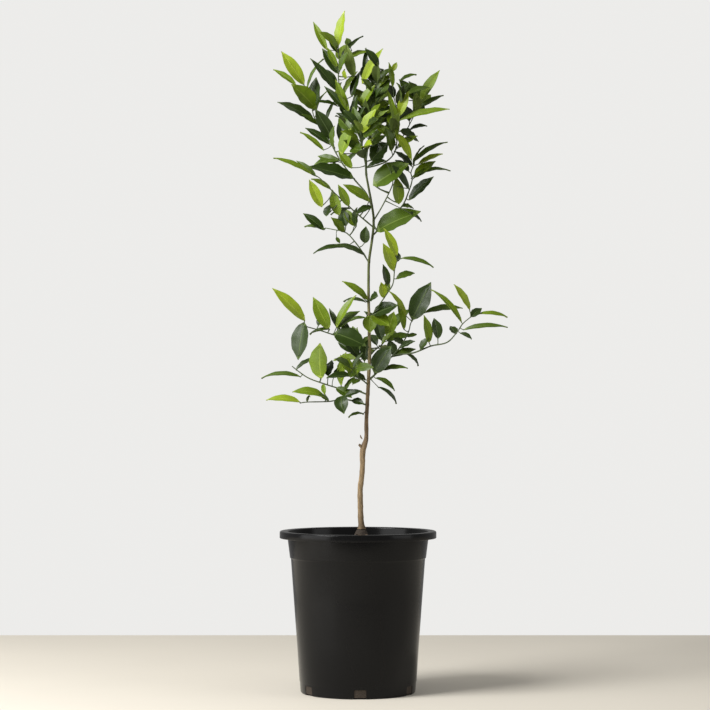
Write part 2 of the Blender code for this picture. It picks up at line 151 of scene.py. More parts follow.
class Sheet:
    """The node tree of one material, with one method that makes its nodes."""

    # A Mix node's colour sockets have the same names as its other ones, so they go by number.
    MIX_SHARE, MIX_FIRST, MIX_SECOND, MIX_RESULT = 0, 6, 7, 2
    FIRST_STOPS = 2

    def __init__(self, name: str) -> None:
        """Makes a new material of that name with one Principled shader."""
        self.material = bpy.data.materials.new(name)
        self.material.use_nodes = True
        self.nodes = self.material.node_tree.nodes
        self.links = self.material.node_tree.links
        self.shader = self.nodes["Principled BSDF"]

    def feed(self, socket: bpy.types.NodeSocket, value: Any) -> None:
        """Links a value to a socket, or sets the socket to a number or a colour.

        Args:
            socket: The socket that is fed.
            value: A Value, a number, a vector or a colour.
        """
        if isinstance(value, Value):
            self.links.new(value.socket, socket)
        elif isinstance(value, tuple) and socket.type == "RGBA":
            socket.default_value = (*value, 1.0)
        else:
            socket.default_value = value

    def node(self, kind: str, settings: dict[str, Any], inputs: dict[Any, Any], output: Any = 0) -> Value:
        """Makes one node.

        Args:
            kind: The node's type.
            settings: What is set on the node first. "stops" are a ramp's (place, colour) pairs.
            inputs: The value or the link of each socket, by name or number.
            output: The output that is returned, by name or number.

        Returns:
            The chosen output.
        """
        made = self.nodes.new(kind)
        for key, value in settings.items():
            if key == "stops":
                row = made.color_ramp.elements
                for index, (place, colour) in enumerate(value):
                    stop = row[index] if index < self.FIRST_STOPS else row.new(place)
                    stop.position = place
                    stop.color = (*colour, 1.0)
            else:
                setattr(made, key, value)
        for key, value in inputs.items():
            self.feed(made.inputs[key], value)
        return Value(self, made.outputs[output])

    def noise(self, scale: float, detail: float = 3.0, stretch: Point = (1, 1, 1)) -> Value:
        """Makes noise on Object coordinates, stretched along the axes.

        Args:
            scale: The noise's scale for coordinates in metres.
            detail: The noise's octaves.
            stretch: The factor on each axis.

        Returns:
            The noise.
        """
        place = self.node("ShaderNodeTexCoord", {}, {}, "Object")
        turned = self.node("ShaderNodeMapping", {}, {"Vector": place, "Scale": stretch})
        inputs = {"Vector": turned, "Scale": scale, "Detail": detail}
        return self.node("ShaderNodeTexNoise", {}, inputs, "Fac")

    def blend(self, share: Any, first: Any, second: Any) -> Value:
        """Returns a colour that goes from first to second as share goes from 0 to 1."""
        inputs = {self.MIX_SHARE: share, self.MIX_FIRST: first, self.MIX_SECOND: second}
        return self.node("ShaderNodeMix", {"data_type": "RGBA"}, inputs, self.MIX_RESULT)

    def ramp(self, share: Any, stops: Sequence[tuple[float, Colour]]) -> Value:
        """Returns the colour that a ramp gives for share."""
        return self.node("ShaderNodeValToRGB", {"stops": stops}, {"Fac": share})

    def bump(self, height: Any, strength: float, depth: float) -> None:
        """Feeds a bump of that strength and depth in metres to the shader's normal."""
        inputs = {"Height": height, "Strength": strength, "Distance": depth}
        self.feed(self.shader.inputs["Normal"], self.node("ShaderNodeBump", {}, inputs))

    def dress(self, **values: Any) -> bpy.types.Material:
        """Feeds the shader's sockets.

        Args:
            values: What each socket gets, under its name with _ for a space.

        Returns:
            The material.
        """
        for key, value in values.items():
            self.feed(self.shader.inputs[key.replace("_", " ")], value)
        return self.material


def toned(colour: Colour, factor: float) -> Colour:
    """Returns a colour made darker or lighter by a factor."""
    return tuple(min(1.0, share * factor) for share in colour)


@dataclass(frozen=True)
class LeafFinish:
    """The skin of a leaf: its face, its midrib and its paler underside.

    Attributes:
        face: The upper side's colour.
        back: The underside's colour.
        rib: The midrib's colour.
        gloss: The upper side's roughness.
    """

    face: Colour
    back: Colour
    rib: Colour
    gloss: float

    BACK_GLOSS = 0.62
    RIB_GLOSS = 0.5
    SHADED, LIT = 0.78, 1.18
    MOTTLE_SCALE = 60.0
    CELL_SCALE = 900.0
    CELL_GLOSS = 0.12
    WAX = 0.32

    def skin(self, name: str, colour: Colour, roughness: float) -> bpy.types.Material:
        """Makes one skin: a base colour that is faintly mottled, with fine cells in its gloss.

        Args:
            name: The material's name.
            colour: The mean colour.
            roughness: The mean roughness.

        Returns:
            The material.
        """
        sheet = Sheet(name)
        mottle = sheet.noise(self.MOTTLE_SCALE, 2.0)
        cells = sheet.noise(self.CELL_SCALE, 1.0)
        sheet.bump(cells, 0.12, 0.0002)
        return sheet.dress(
            Base_Color=sheet.blend(mottle, toned(colour, self.SHADED), toned(colour, self.LIT)),
            Roughness=roughness + (cells - 0.5) * self.CELL_GLOSS,
            Specular_IOR_Level=self.WAX,
        )

    def materials(self, tint: Tint) -> list[bpy.types.Material]:
        """Makes the three skins of a tint.

        Args:
            tint: The tint that names them.

        Returns:
            The face, back and rib materials, in slot order.
        """
        return [
            self.skin(f"leaf_{tint.value}_face", self.face, self.gloss),
            self.skin(f"leaf_{tint.value}_back", self.back, self.BACK_GLOSS),
            self.skin(f"leaf_{tint.value}_rib", self.rib, self.RIB_GLOSS),
        ]


# Each tint's colours are partly age and partly painted light and shade: brighter greens for lit leaves,
# darker ones for shaded leaves, and the greyed SHEEN green paints a glossy reflection.
LEAF_FINISHES = {
    Tint.YOUNG_AND_LIT: LeafFinish((0.260, 0.350, 0.014), (0.180, 0.230, 0.024), (0.360, 0.440, 0.050), 0.45),
    Tint.BRIGHT: LeafFinish((0.140, 0.215, 0.007), (0.105, 0.150, 0.018), (0.240, 0.320, 0.034), 0.42),
    Tint.MID: LeafFinish((0.060, 0.105, 0.005), (0.062, 0.092, 0.014), (0.130, 0.190, 0.028), 0.40),
    Tint.DARK: LeafFinish((0.023, 0.045, 0.004), (0.042, 0.062, 0.012), (0.074, 0.115, 0.022), 0.36),
    Tint.SHEEN: LeafFinish((0.036, 0.060, 0.012), (0.062, 0.084, 0.030), (0.100, 0.140, 0.050), 0.30),
}


@dataclass(frozen=True)
class BarkFinish:
    """The stem's skin, from tan rootstock through brown scion to green wood.

    Attributes:
        zones: Height in metres and colour of the bark there, from the foot to the fork.
        furrow_shade: Colour painted into the furrows where the relief sinks, as painted shade.
        furrow_shade_share: How far that painted shade goes from the bark's own colour to the crevice's.
    """

    zones: tuple[tuple[float, Colour], ...] = (
        (0.290, (0.200, 0.130, 0.066)),
        (0.330, (0.460, 0.320, 0.165)),
        (0.425, (0.420, 0.285, 0.145)),
        (0.440, (0.280, 0.185, 0.095)),
        (0.470, (0.220, 0.140, 0.070)),
        (0.540, (0.260, 0.170, 0.080)),
        (0.580, (0.420, 0.345, 0.160)),
        (0.680, (0.360, 0.315, 0.125)),
        (0.730, (0.130, 0.160, 0.036)),
        (0.980, (0.085, 0.120, 0.026)),
    )
    furrow_shade: Colour = (0.020, 0.016, 0.008)
    furrow_shade_share: float = 0.62

    def material(self) -> bpy.types.Material:
        """Makes the bark: colours by height, streaked along the stem, with fine relief and painted shade in
        its furrows.

        Returns:
            The material.
        """
        sheet = Sheet("bark")
        foot, fork = self.zones[0][0], self.zones[-1][0]
        place = sheet.node("ShaderNodeTexCoord", {}, {}, "Object")
        height = sheet.node("ShaderNodeSeparateXYZ", {}, {"Vector": place}, "Z")
        share = (height - foot) * (1 / (fork - foot))
        stops = [((level - foot) / (fork - foot), colour) for level, colour in self.zones]
        streaks = sheet.noise(420.0, 4.0, (1.0, 1.0, 0.16))
        specks = sheet.noise(1500.0, 2.0, (1.0, 1.0, 0.5))
        colour = sheet.ramp(share, stops)
        # A darker copy of the bark colour, painted into the furrows where the bump sinks: painted shade.
        dark = sheet.blend(self.furrow_shade_share, colour, self.furrow_shade)
        sheet.bump(streaks + specks * 0.5, 0.5, 0.0006)
        mixed = sheet.blend((streaks - 0.35) * 2.2, dark, colour)
        return sheet.dress(Base_Color=mixed, Roughness=0.62 + specks * 0.25)


@dataclass(frozen=True)
class TwigFinish:
    """The green skin of shoots and leaf stalks."""

    colour: Colour = (0.075, 0.110, 0.026)
    shade: Colour = (0.040, 0.058, 0.018)

    def material(self) -> bpy.types.Material:
        """Makes the shoots' skin, mottled brown and green.

        Returns:
            The material.
        """
        sheet = Sheet("twig")
        mottle = sheet.noise(240.0, 3.0)
        sheet.bump(sheet.noise(1400.0, 2.0), 0.3, 0.0003)
        colour = sheet.blend(mottle, self.shade, self.colour)
        return sheet.dress(Base_Color=colour, Roughness=0.5 + mottle * 0.15)


@dataclass(frozen=True)
class PotFinish:
    """Moulded black plastic with a satin skin and faint flow lines."""

    colour: Colour = (0.0035, 0.0035, 0.0038)
    dust: Colour = (0.010, 0.010, 0.010)

    def material(self) -> bpy.types.Material:
        """Makes the pot's plastic, a little dusty, with a fine grain in its gloss.

        Returns:
            The material.
        """
        sheet = Sheet("pot_plastic")
        haze = sheet.noise(9.0, 3.0)
        grain = sheet.noise(1100.0, 2.0)
        flow = sheet.noise(26.0, 2.0, (1.0, 1.0, 0.12))
        sheet.bump(grain * 0.4 + flow, 0.06, 0.0006)
        return sheet.dress(
            Base_Color=sheet.blend(haze * 0.35, self.colour, self.dust),
            Roughness=0.15 + haze * 0.07 + grain * 0.04,
            Specular_IOR_Level=0.17,
        )


@dataclass(frozen=True)
class SoilFinish:
    """One part of the potting mix.

    Attributes:
        name: The material's name.
        dark: Colour in its hollows, where the bump sinks, as painted shade.
        light: Colour of its crests, where the bump stands highest.
    """

    name: str
    dark: Colour
    light: Colour

    def material(self) -> bpy.types.Material:
        """Makes the mix's skin, crumbly and matt.

        Returns:
            The material.
        """
        sheet = Sheet(self.name)
        crumbs = sheet.noise(420.0, 5.0)
        sheet.bump(crumbs, 0.9, 0.0015)
        # Darkest where the bump sinks and lighter on the crests: painted shade in the hollows.
        colour = sheet.blend(crumbs, self.dark, self.light)
        return sheet.dress(Base_Color=colour, Roughness=0.8 + crumbs * 0.15)


@dataclass(frozen=True)
class FruitFinish:
    """The grey-green skin of an unripe fruit, with its oil pores."""

    pore: Colour = (0.075, 0.100, 0.045)
    skin: Colour = (0.150, 0.185, 0.095)

    def material(self) -> bpy.types.Material:
        """Makes the fruit's skin.

        Returns:
            The material.
        """
        sheet = Sheet("fruitlet")
        pores = sheet.noise(1800.0, 2.0)
        sheet.bump(pores, 0.4, 0.0003)
        return sheet.dress(Base_Color=sheet.blend(pores, self.pore, self.skin), Roughness=0.42 + pores * 0.1)


def linked(name: str, shape: bmesh.types.BMesh, materials: Iterable[bpy.types.Material]) -> bpy.types.Object:
    """Turns a bmesh in metres into a smooth-shaded object that rides on the one body.

    Args:
        name: The piece's name.
        shape: The bmesh, which is freed.
        materials: The piece's materials in slot order.

    Returns:
        The new object.
    """
    mesh = bpy.data.meshes.new(name)
    shape.to_mesh(mesh)
    shape.free()
    for material in materials:
        mesh.materials.append(material)
    mesh.shade_smooth()
    mesh.set_sharp_from_angle(angle=SHARP_EDGE)
    piece = bpy.data.objects.new(name, mesh)
    bpy.context.scene.collection.objects.link(piece)
    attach(piece, "root")
    LOG.info("%s: %d faces", name, len(mesh.polygons))
    return piece


def smooth_line(points: Sequence[Vector], steps: int) -> list[Vector]:
    """Draws a smooth line through points, as a Catmull-Rom spline.

    Args:
        points: The points that it passes.
        steps: Steps from each point to the next.

    Returns:
        The line's points.
    """
    ends = [2 * points[0] - points[1], *points, 2 * points[-1] - points[-2]]
    line = []
    for before, start, end, after in zip(ends, ends[1:], ends[2:], ends[3:]):
        slope = end - before
        turn = 2 * before - 5 * start + 4 * end - after
        twist = 3 * start - before - 3 * end + after
        for share in (step / steps for step in range(steps)):
            line.append(0.5 * (2 * start + slope * share + turn * share**2 + twist * share**3))
    return [*line, points[-1].copy()]


def tube(shape: bmesh.types.BMesh, line: Sequence[Vector], radii: Sequence[float], sides: int) -> list:
    """Extrudes a ring along a line, with closed ends.

    Args:
        shape: The bmesh that the tube joins.
        line: The centre line in metres.
        radii: The radius at each point, in metres.
        sides: Sides of the ring.

    Returns:
        The rings of vertices, from the first point to the last.
    """
    ring = bmesh.ops.create_circle(shape, cap_ends=True, radius=1.0, segments=sides)["verts"]
    cap = ring[0].link_faces[0]
    side, rings, faces = Vector((1, 0, 0)), [], {cap}
    for index, (centre, radius) in enumerate(zip(line, radii)):
        axis = (line[min(index + 1, len(line) - 1)] - line[max(index - 1, 0)]).normalized()
        across_line = side - axis * side.dot(axis)
        side = across_line.normalized() if across_line.length > 0.0447 else axis.orthogonal()
        across = axis.cross(side)
        if index:
            cap = bmesh.ops.extrude_discrete_faces(shape, faces=[cap])["faces"][0]
            ring = list(cap.verts)
            faces.update(face for vertex in ring for face in vertex.link_faces)
        for number, vertex in enumerate(ring):
            turn = math.tau * number / sides
            vertex.co = centre + (side * math.cos(turn) + across * math.sin(turn)) * radius
        rings.append(ring)
    rim = {edge for vertex in rings[0] for edge in vertex.link_edges if edge.is_boundary}
    bmesh.ops.contextual_create(shape, geom=list(rim))
    faces.update(face for vertex in rings[0] for face in vertex.link_faces)
    bmesh.ops.recalc_face_normals(shape, faces=[face for face in faces if face.is_valid])
    return rings


def sprig(shape: bmesh.types.BMesh, knots: Sequence[Knot], sides: int, start: Vector) -> None:
    """Extrudes a tube through a few knots.

    Args:
        shape: The bmesh that the tube joins.
        knots: The knots in millimetres.
        sides: Sides of the tube.
        start: Where the knots are counted from, in metres.
    """
    line = [start + Vector(knot[:3]) * MM for knot in knots]
    tube(shape, line, [knot[3] * MM for knot in knots], sides)


@dataclass(frozen=True)
class Leaf:
    """One leaf blade with its stalk.

    Attributes:
        node: Where its stalk leaves the shoot, in metres.
        foot: Where the blade starts, in metres.
        tip: The blade's tip, in metres.
        width: The blade's greatest width in millimetres.
        tint: Its green.
        arch: How far the blade bows, as a share of its length. Above 0 it bows up.
        roll: Turn of its face about its own length, in degrees.
        fold: How far the two halves rise from the midrib, in degrees.
        seed: Seed of its waves.
    """

    node: Vector
    foot: Vector
    tip: Vector
    width: float
    tint: Tint
    arch: float
    roll: float
    fold: float
    seed: int

    ROWS = 11
    COLUMNS = (0.0, 0.05, 0.52, 1.0)
    RIB_COLUMN = 0.05
    THICKNESS = 0.35
    LIGHT = Vector((-0.12, -0.62, 0.75))
    STEM = Vector((0.02, 0, 0))
    WAVES = 3.2
    WAVE_DEPTHS = 0.02, 0.055
    MAX_TWIST = 16
    STALK_SIDES = 5
    STALK_RADII = (1.5, 1.1, 0.9, 1.0, 1.1)

    def outline(self, share: float) -> float:
        """Gives the blade's outline: rounded from the foot, drawn out to a drip tip.

        Args:
            share: Place along the blade, from 0 at its foot to 1 at its tip.

        Returns:
            The half width there, as a share of the widest.
        """
        body = max(0.0, math.sin(math.pi * share**0.88)) ** 0.74
        drip = 1.0 - 0.42 * max(0.0, (share - 0.72) / 0.28) ** 1.2
        return max(0.03, body * drip)

    def facing(self, axis: Vector) -> Vector:
        """Finds where the blade's face looks: to the light and out from the stem.

        Args:
            axis: The blade's direction.

        Returns:
            The direction, square to the axis.
        """
        out = (self.foot + self.tip) / 2 - self.STEM
        out.z = 0
        out = out.normalized() if out.length > 0.01 else Vector((0, -1, 0))
        want = self.LIGHT + out * 0.30
        flat = want - axis * want.dot(axis)
        if flat.length < 0.15:
            flat = axis.orthogonal()
        return Matrix.Rotation(math.radians(self.roll), 3, axis) @ flat.normalized()

    def blade(self, shape: bmesh.types.BMesh) -> None:
        """Adds the blade: a folded, waved grid in the leaf's outline, made a thin shell.

        Args:
            shape: The bmesh that the blade joins.
        """
        rng = random.Random(self.seed)
        span = self.tip - self.foot
        face = self.facing(span.normalized())
        bow = self.foot + span * 0.5 + face * span.length * self.arch * 2
        wave, phase = rng.uniform(*self.WAVE_DEPTHS), rng.uniform(0, math.tau)
        twist = math.radians(rng.uniform(-self.MAX_TWIST, self.MAX_TWIST))
        half, sink = self.width * MM / 2, self.THICKNESS * MM
        most = len(self.COLUMNS) - 1
        grid = bmesh.ops.create_grid(shape, x_segments=2 * most, y_segments=self.ROWS, size=1.0)["verts"]
        for vertex in grid:
            across, share = vertex.co.x, (vertex.co.y + 1) / 2
            column = self.COLUMNS[round(abs(across) * most)]
            centre = self.foot.lerp(bow, share).lerp(bow.lerp(self.tip, share), share)
            ahead = (bow - self.foot).lerp(self.tip - bow, share).normalized()
            up = (face - ahead * face.dot(ahead)).normalized()
            up = Matrix.Rotation(twist * (share - 0.3), 3, ahead) @ up
            reach = column * half * self.outline(share)
            tilt = math.radians(self.fold) * (1 - 0.5 * share)
            turn = self.WAVES * math.tau * share + phase + (across > 0)
            rise = reach * (math.sin(tilt) + wave * 2 * column * math.sin(turn))
            if column == self.RIB_COLUMN:
                rise -= sink
            vertex.co = centre + ahead.cross(up) * math.copysign(reach * math.cos(tilt), across) + up * rise
        faces = list({face for vertex in grid for face in vertex.link_faces})
        self.mark_rib(faces)
        bmesh.ops.remove_doubles(shape, verts=grid, dist=2e-5)
        faces = [item for item in faces if item.is_valid]
        made = bmesh.ops.solidify(shape, geom=faces, thickness=sink)["geom"]
        shell = set(faces) | {item for item in made if isinstance(item, bmesh.types.BMFace)}
        bmesh.ops.recalc_face_normals(shape, faces=list(shell))
        for item in shell:
            if item.normal.dot(face) < 0:
                item.material_index = 1

    def mark_rib(self, faces: Iterable[bmesh.types.BMFace]) -> None:
        """Gives the faces beside the midrib, the narrowest ones, the rib's slot.

        Args:
            faces: The blade's faces.
        """
        for item in faces:
            corners = [vertex.co for vertex in item.verts]
            spread = min((a - b).length for a, b in zip(corners, corners[1:]))
            if 0 < spread < self.width * MM * self.RIB_COLUMN:
                item.material_index = 2

    def stalk(self, shape: bmesh.types.BMesh) -> None:
        """Adds the leaf's stalk, which swells a little where it meets the blade.

        Args:
            shape: The bmesh that the stalk joins.
        """
        lift = (self.tip - self.foot).normalized() * 0.002
        line = smooth_line([self.node, (self.node + self.foot) / 2 - lift * 0.5, self.foot + lift], 2)
        thick = (0.55 + 0.02 * self.width) * MM
        tube(shape, line, [thick * share for share in self.STALK_RADII], self.STALK_SIDES)


@dataclass(frozen=True)
class Seen:
    """A leaf that the photograph shows.

    Attributes:
        foot: Pixel column and row of the blade's foot.
        tip: Pixel column and row of its tip.
        deep: Millimetres that the tip lies behind its foot.
        width: The blade's width in the picture, in millimetres.
        tint: Its green.
        arch: How far it bows.
    """

    foot: tuple[float, float]
    tip: tuple[float, float]
    deep: float
    width: float
    tint: Tint
    arch: float = 0.06


@dataclass
class Shoot:
    """One limb of the tree with its leaves.

    Attributes:
        name: The shoot's name, which also seeds its rule.
        route: Points of its centre line in millimetres.
        thick: Radius at its base in millimetres.
        thin: Radius at its tip in millimetres.
        seen: The leaves that the photograph shows on it.
        more: How many more leaves the seeded rule grows on it.
        start: Share of its length at which those begin.
        size: Their mean length in millimetres.
        tints: The greens that they are dealt.
        twigs: Side twigs that the rule grows, each with leaves of its own.
        steps: Steps of the centre line from each point to the next.
        line: The smooth centre line in metres.
    """

    name: str
    route: Sequence[Point]
    thick: float
    thin: float
    seen: Sequence[Seen] = ()
    more: int = 0
    start: float = 0.25
    size: float = 46.0
    tints: Sequence[Tint] = (Tint.MID, Tint.BRIGHT, Tint.DARK)
    twigs: int = 0
    steps: int = 5
    line: list[Vector] = field(default_factory=list)

    GOLDEN = math.radians(137.5)
    FACE_ON = 1.2
    FOLD = 15.0
    FOOT_SHARE = 0.12
    RISE = UP * 0.35
    # Ranges that the seeded rule draws from, for the leaves and then for the twigs.
    OUT, AHEAD = (0.75, 1.1), (0.45, 0.9)
    LENGTHS, STALKS, DROOP = (0.75, 1.2), (0.004, 0.008), (0.0, 0.12)
    WIDTHS, ARCHES = (0.36, 0.47), (0.03, 0.12)
    ROLLS, FOLDS = (-25, 25), (12, 30)
    TWIG_REACH, TWIG_LEAVES = (22, 42), (2, 3)
    TWIG_SIZE = 0.85
    TWIG_RADII = 0.8, 0.5
    NODE_SWELL = 1.12
    SIDES = 8

    def __post_init__(self) -> None:
        """Works out the smooth centre line."""
        self.line = smooth_line([Vector(point) * MM for point in self.route], self.steps)

    def nearest(self, column: float, row: float) -> Vector:
        """Returns the point of the shoot that the picture shows nearest to a pixel."""
        return min(self.line, key=lambda point: math.dist(SIGHT.seen(point), (column, row)))

    def at(self, share: float) -> tuple[Vector, Vector]:
        """Finds a place on the shoot.

        Args:
            share: The place as a share of the shoot's length.

        Returns:
            The point there and the shoot's direction.
        """
        place = share * (len(self.line) - 1)
        index = min(int(place), len(self.line) - 2)
        start, end = self.line[index], self.line[index + 1]
        return start.lerp(end, place - index), (end - start).normalized()

    def shown_leaves(self) -> list[Leaf]:
        """Hangs the leaves that the photograph shows from the nearest points of the shoot.

        Returns:
            The leaves.
        """
        leaves = []
        for number, entry in enumerate(self.seen):
            node = self.nearest(*entry.foot)
            depth = node.y / MM
            foot = SIGHT.place(*entry.foot, depth + entry.deep * self.FOOT_SHARE)
            tip = SIGHT.place(*entry.tip, depth + entry.deep)
            width, seed = entry.width * self.FACE_ON, seed_of(self.name, number)
            leaves.append(Leaf(node, foot, tip, width, entry.tint, entry.arch, 0.0, self.FOLD, seed))
        return leaves

    def grown(self, limb: "Shoot", count: int, rng: random.Random, size: float) -> list[Leaf]:
        """Grows leaves round the shoot or one of its twigs by the spiral rule.

        Args:
            limb: The shoot or twig that carries them.
            count: How many leaves.
            rng: The seeded source of their differences.
            size: Their mean length in millimetres.

        Returns:
            The leaves.
        """
        leaves = []
        turn = rng.uniform(0, math.tau)
        for number in range(count):
            share = (number + 1) / count
            if limb is self:
                share = self.start + (1 - self.start) * (number + 0.6) / count
            node, ahead = limb.at(min(1.0, share))
            turn += self.GOLDEN
            out = Matrix.Rotation(turn, 3, ahead) @ ahead.orthogonal().normalized()
            aim = out * rng.uniform(*self.OUT) + ahead * rng.uniform(*self.AHEAD) + self.RISE
            aim.normalize()
            length = size * rng.uniform(*self.LENGTHS) * MM
            foot = node + aim * rng.uniform(*self.STALKS)
            tip = foot + aim * length - UP * rng.uniform(*self.DROOP) * length
            width = length / MM * rng.uniform(*self.WIDTHS)
            tint, arch = rng.choice(list(self.tints)), rng.uniform(*self.ARCHES)
            roll, fold = rng.uniform(*self.ROLLS), rng.uniform(*self.FOLDS)
            leaves.append(Leaf(node, foot, tip, width, tint, arch, roll, fold, rng.randrange(10**6)))
        return leaves

    def branch(self) -> tuple[list["Shoot"], list[Leaf]]:
        """Grows side twigs and leaves from the shoot by its seeded rule.

        Returns:
            The twigs, and every leaf of the shoot and its twigs.
        """
        rng = random.Random(self.name)
        leaves = self.shown_leaves() + self.grown(self, self.more, rng, self.size)
        twigs = []
        for number in range(self.twigs):
            node, ahead = self.at(self.start + (1 - self.start) * (number + 0.5) / self.twigs)
            out = Matrix.Rotation(rng.uniform(0, math.tau), 3, ahead) @ ahead.orthogonal().normalized()
            reach = (out + ahead * 0.8 + UP * 0.5).normalized() * rng.uniform(*self.TWIG_REACH) * MM
            ends = node, node + reach * 0.5 + UP * 0.002, node + reach + UP * 0.006
            route = [tuple(point / MM) for point in ends]
            twig = Shoot(f"{self.name}_twig_{number}", route, *self.TWIG_RADII, steps=3)
            twigs.append(twig)
            leaves += self.grown(twig, rng.choice(self.TWIG_LEAVES), rng, self.size * self.TWIG_SIZE)
        return twigs, leaves

    def wood(self, shape: bmesh.types.BMesh) -> None:
        """Adds the shoot's tapering limb, slightly swollen at its nodes.

        Args:
            shape: The bmesh that the limb joins.
        """
        count = len(self.line) - 1
        radii = []
        for index in range(count + 1):
            radius = self.thick + (self.thin - self.thick) * index / count
            radii.append(radius * (self.NODE_SWELL if index % 4 == 2 else 1.0) * MM)
        tube(shape, self.line, radii, self.SIDES)


def seed_of(name: str, number: int) -> int:
    """Returns a seed from a name and a number, the same on every run."""
    return sum((index + 1) * ord(letter) for index, letter in enumerate(name)) * 97 + number * 13


# Short names for the tints, for the leaves listed below.
Y, B, M, D, S = Tint.YOUNG_AND_LIT, Tint.BRIGHT, Tint.MID, Tint.DARK, Tint.SHEEN

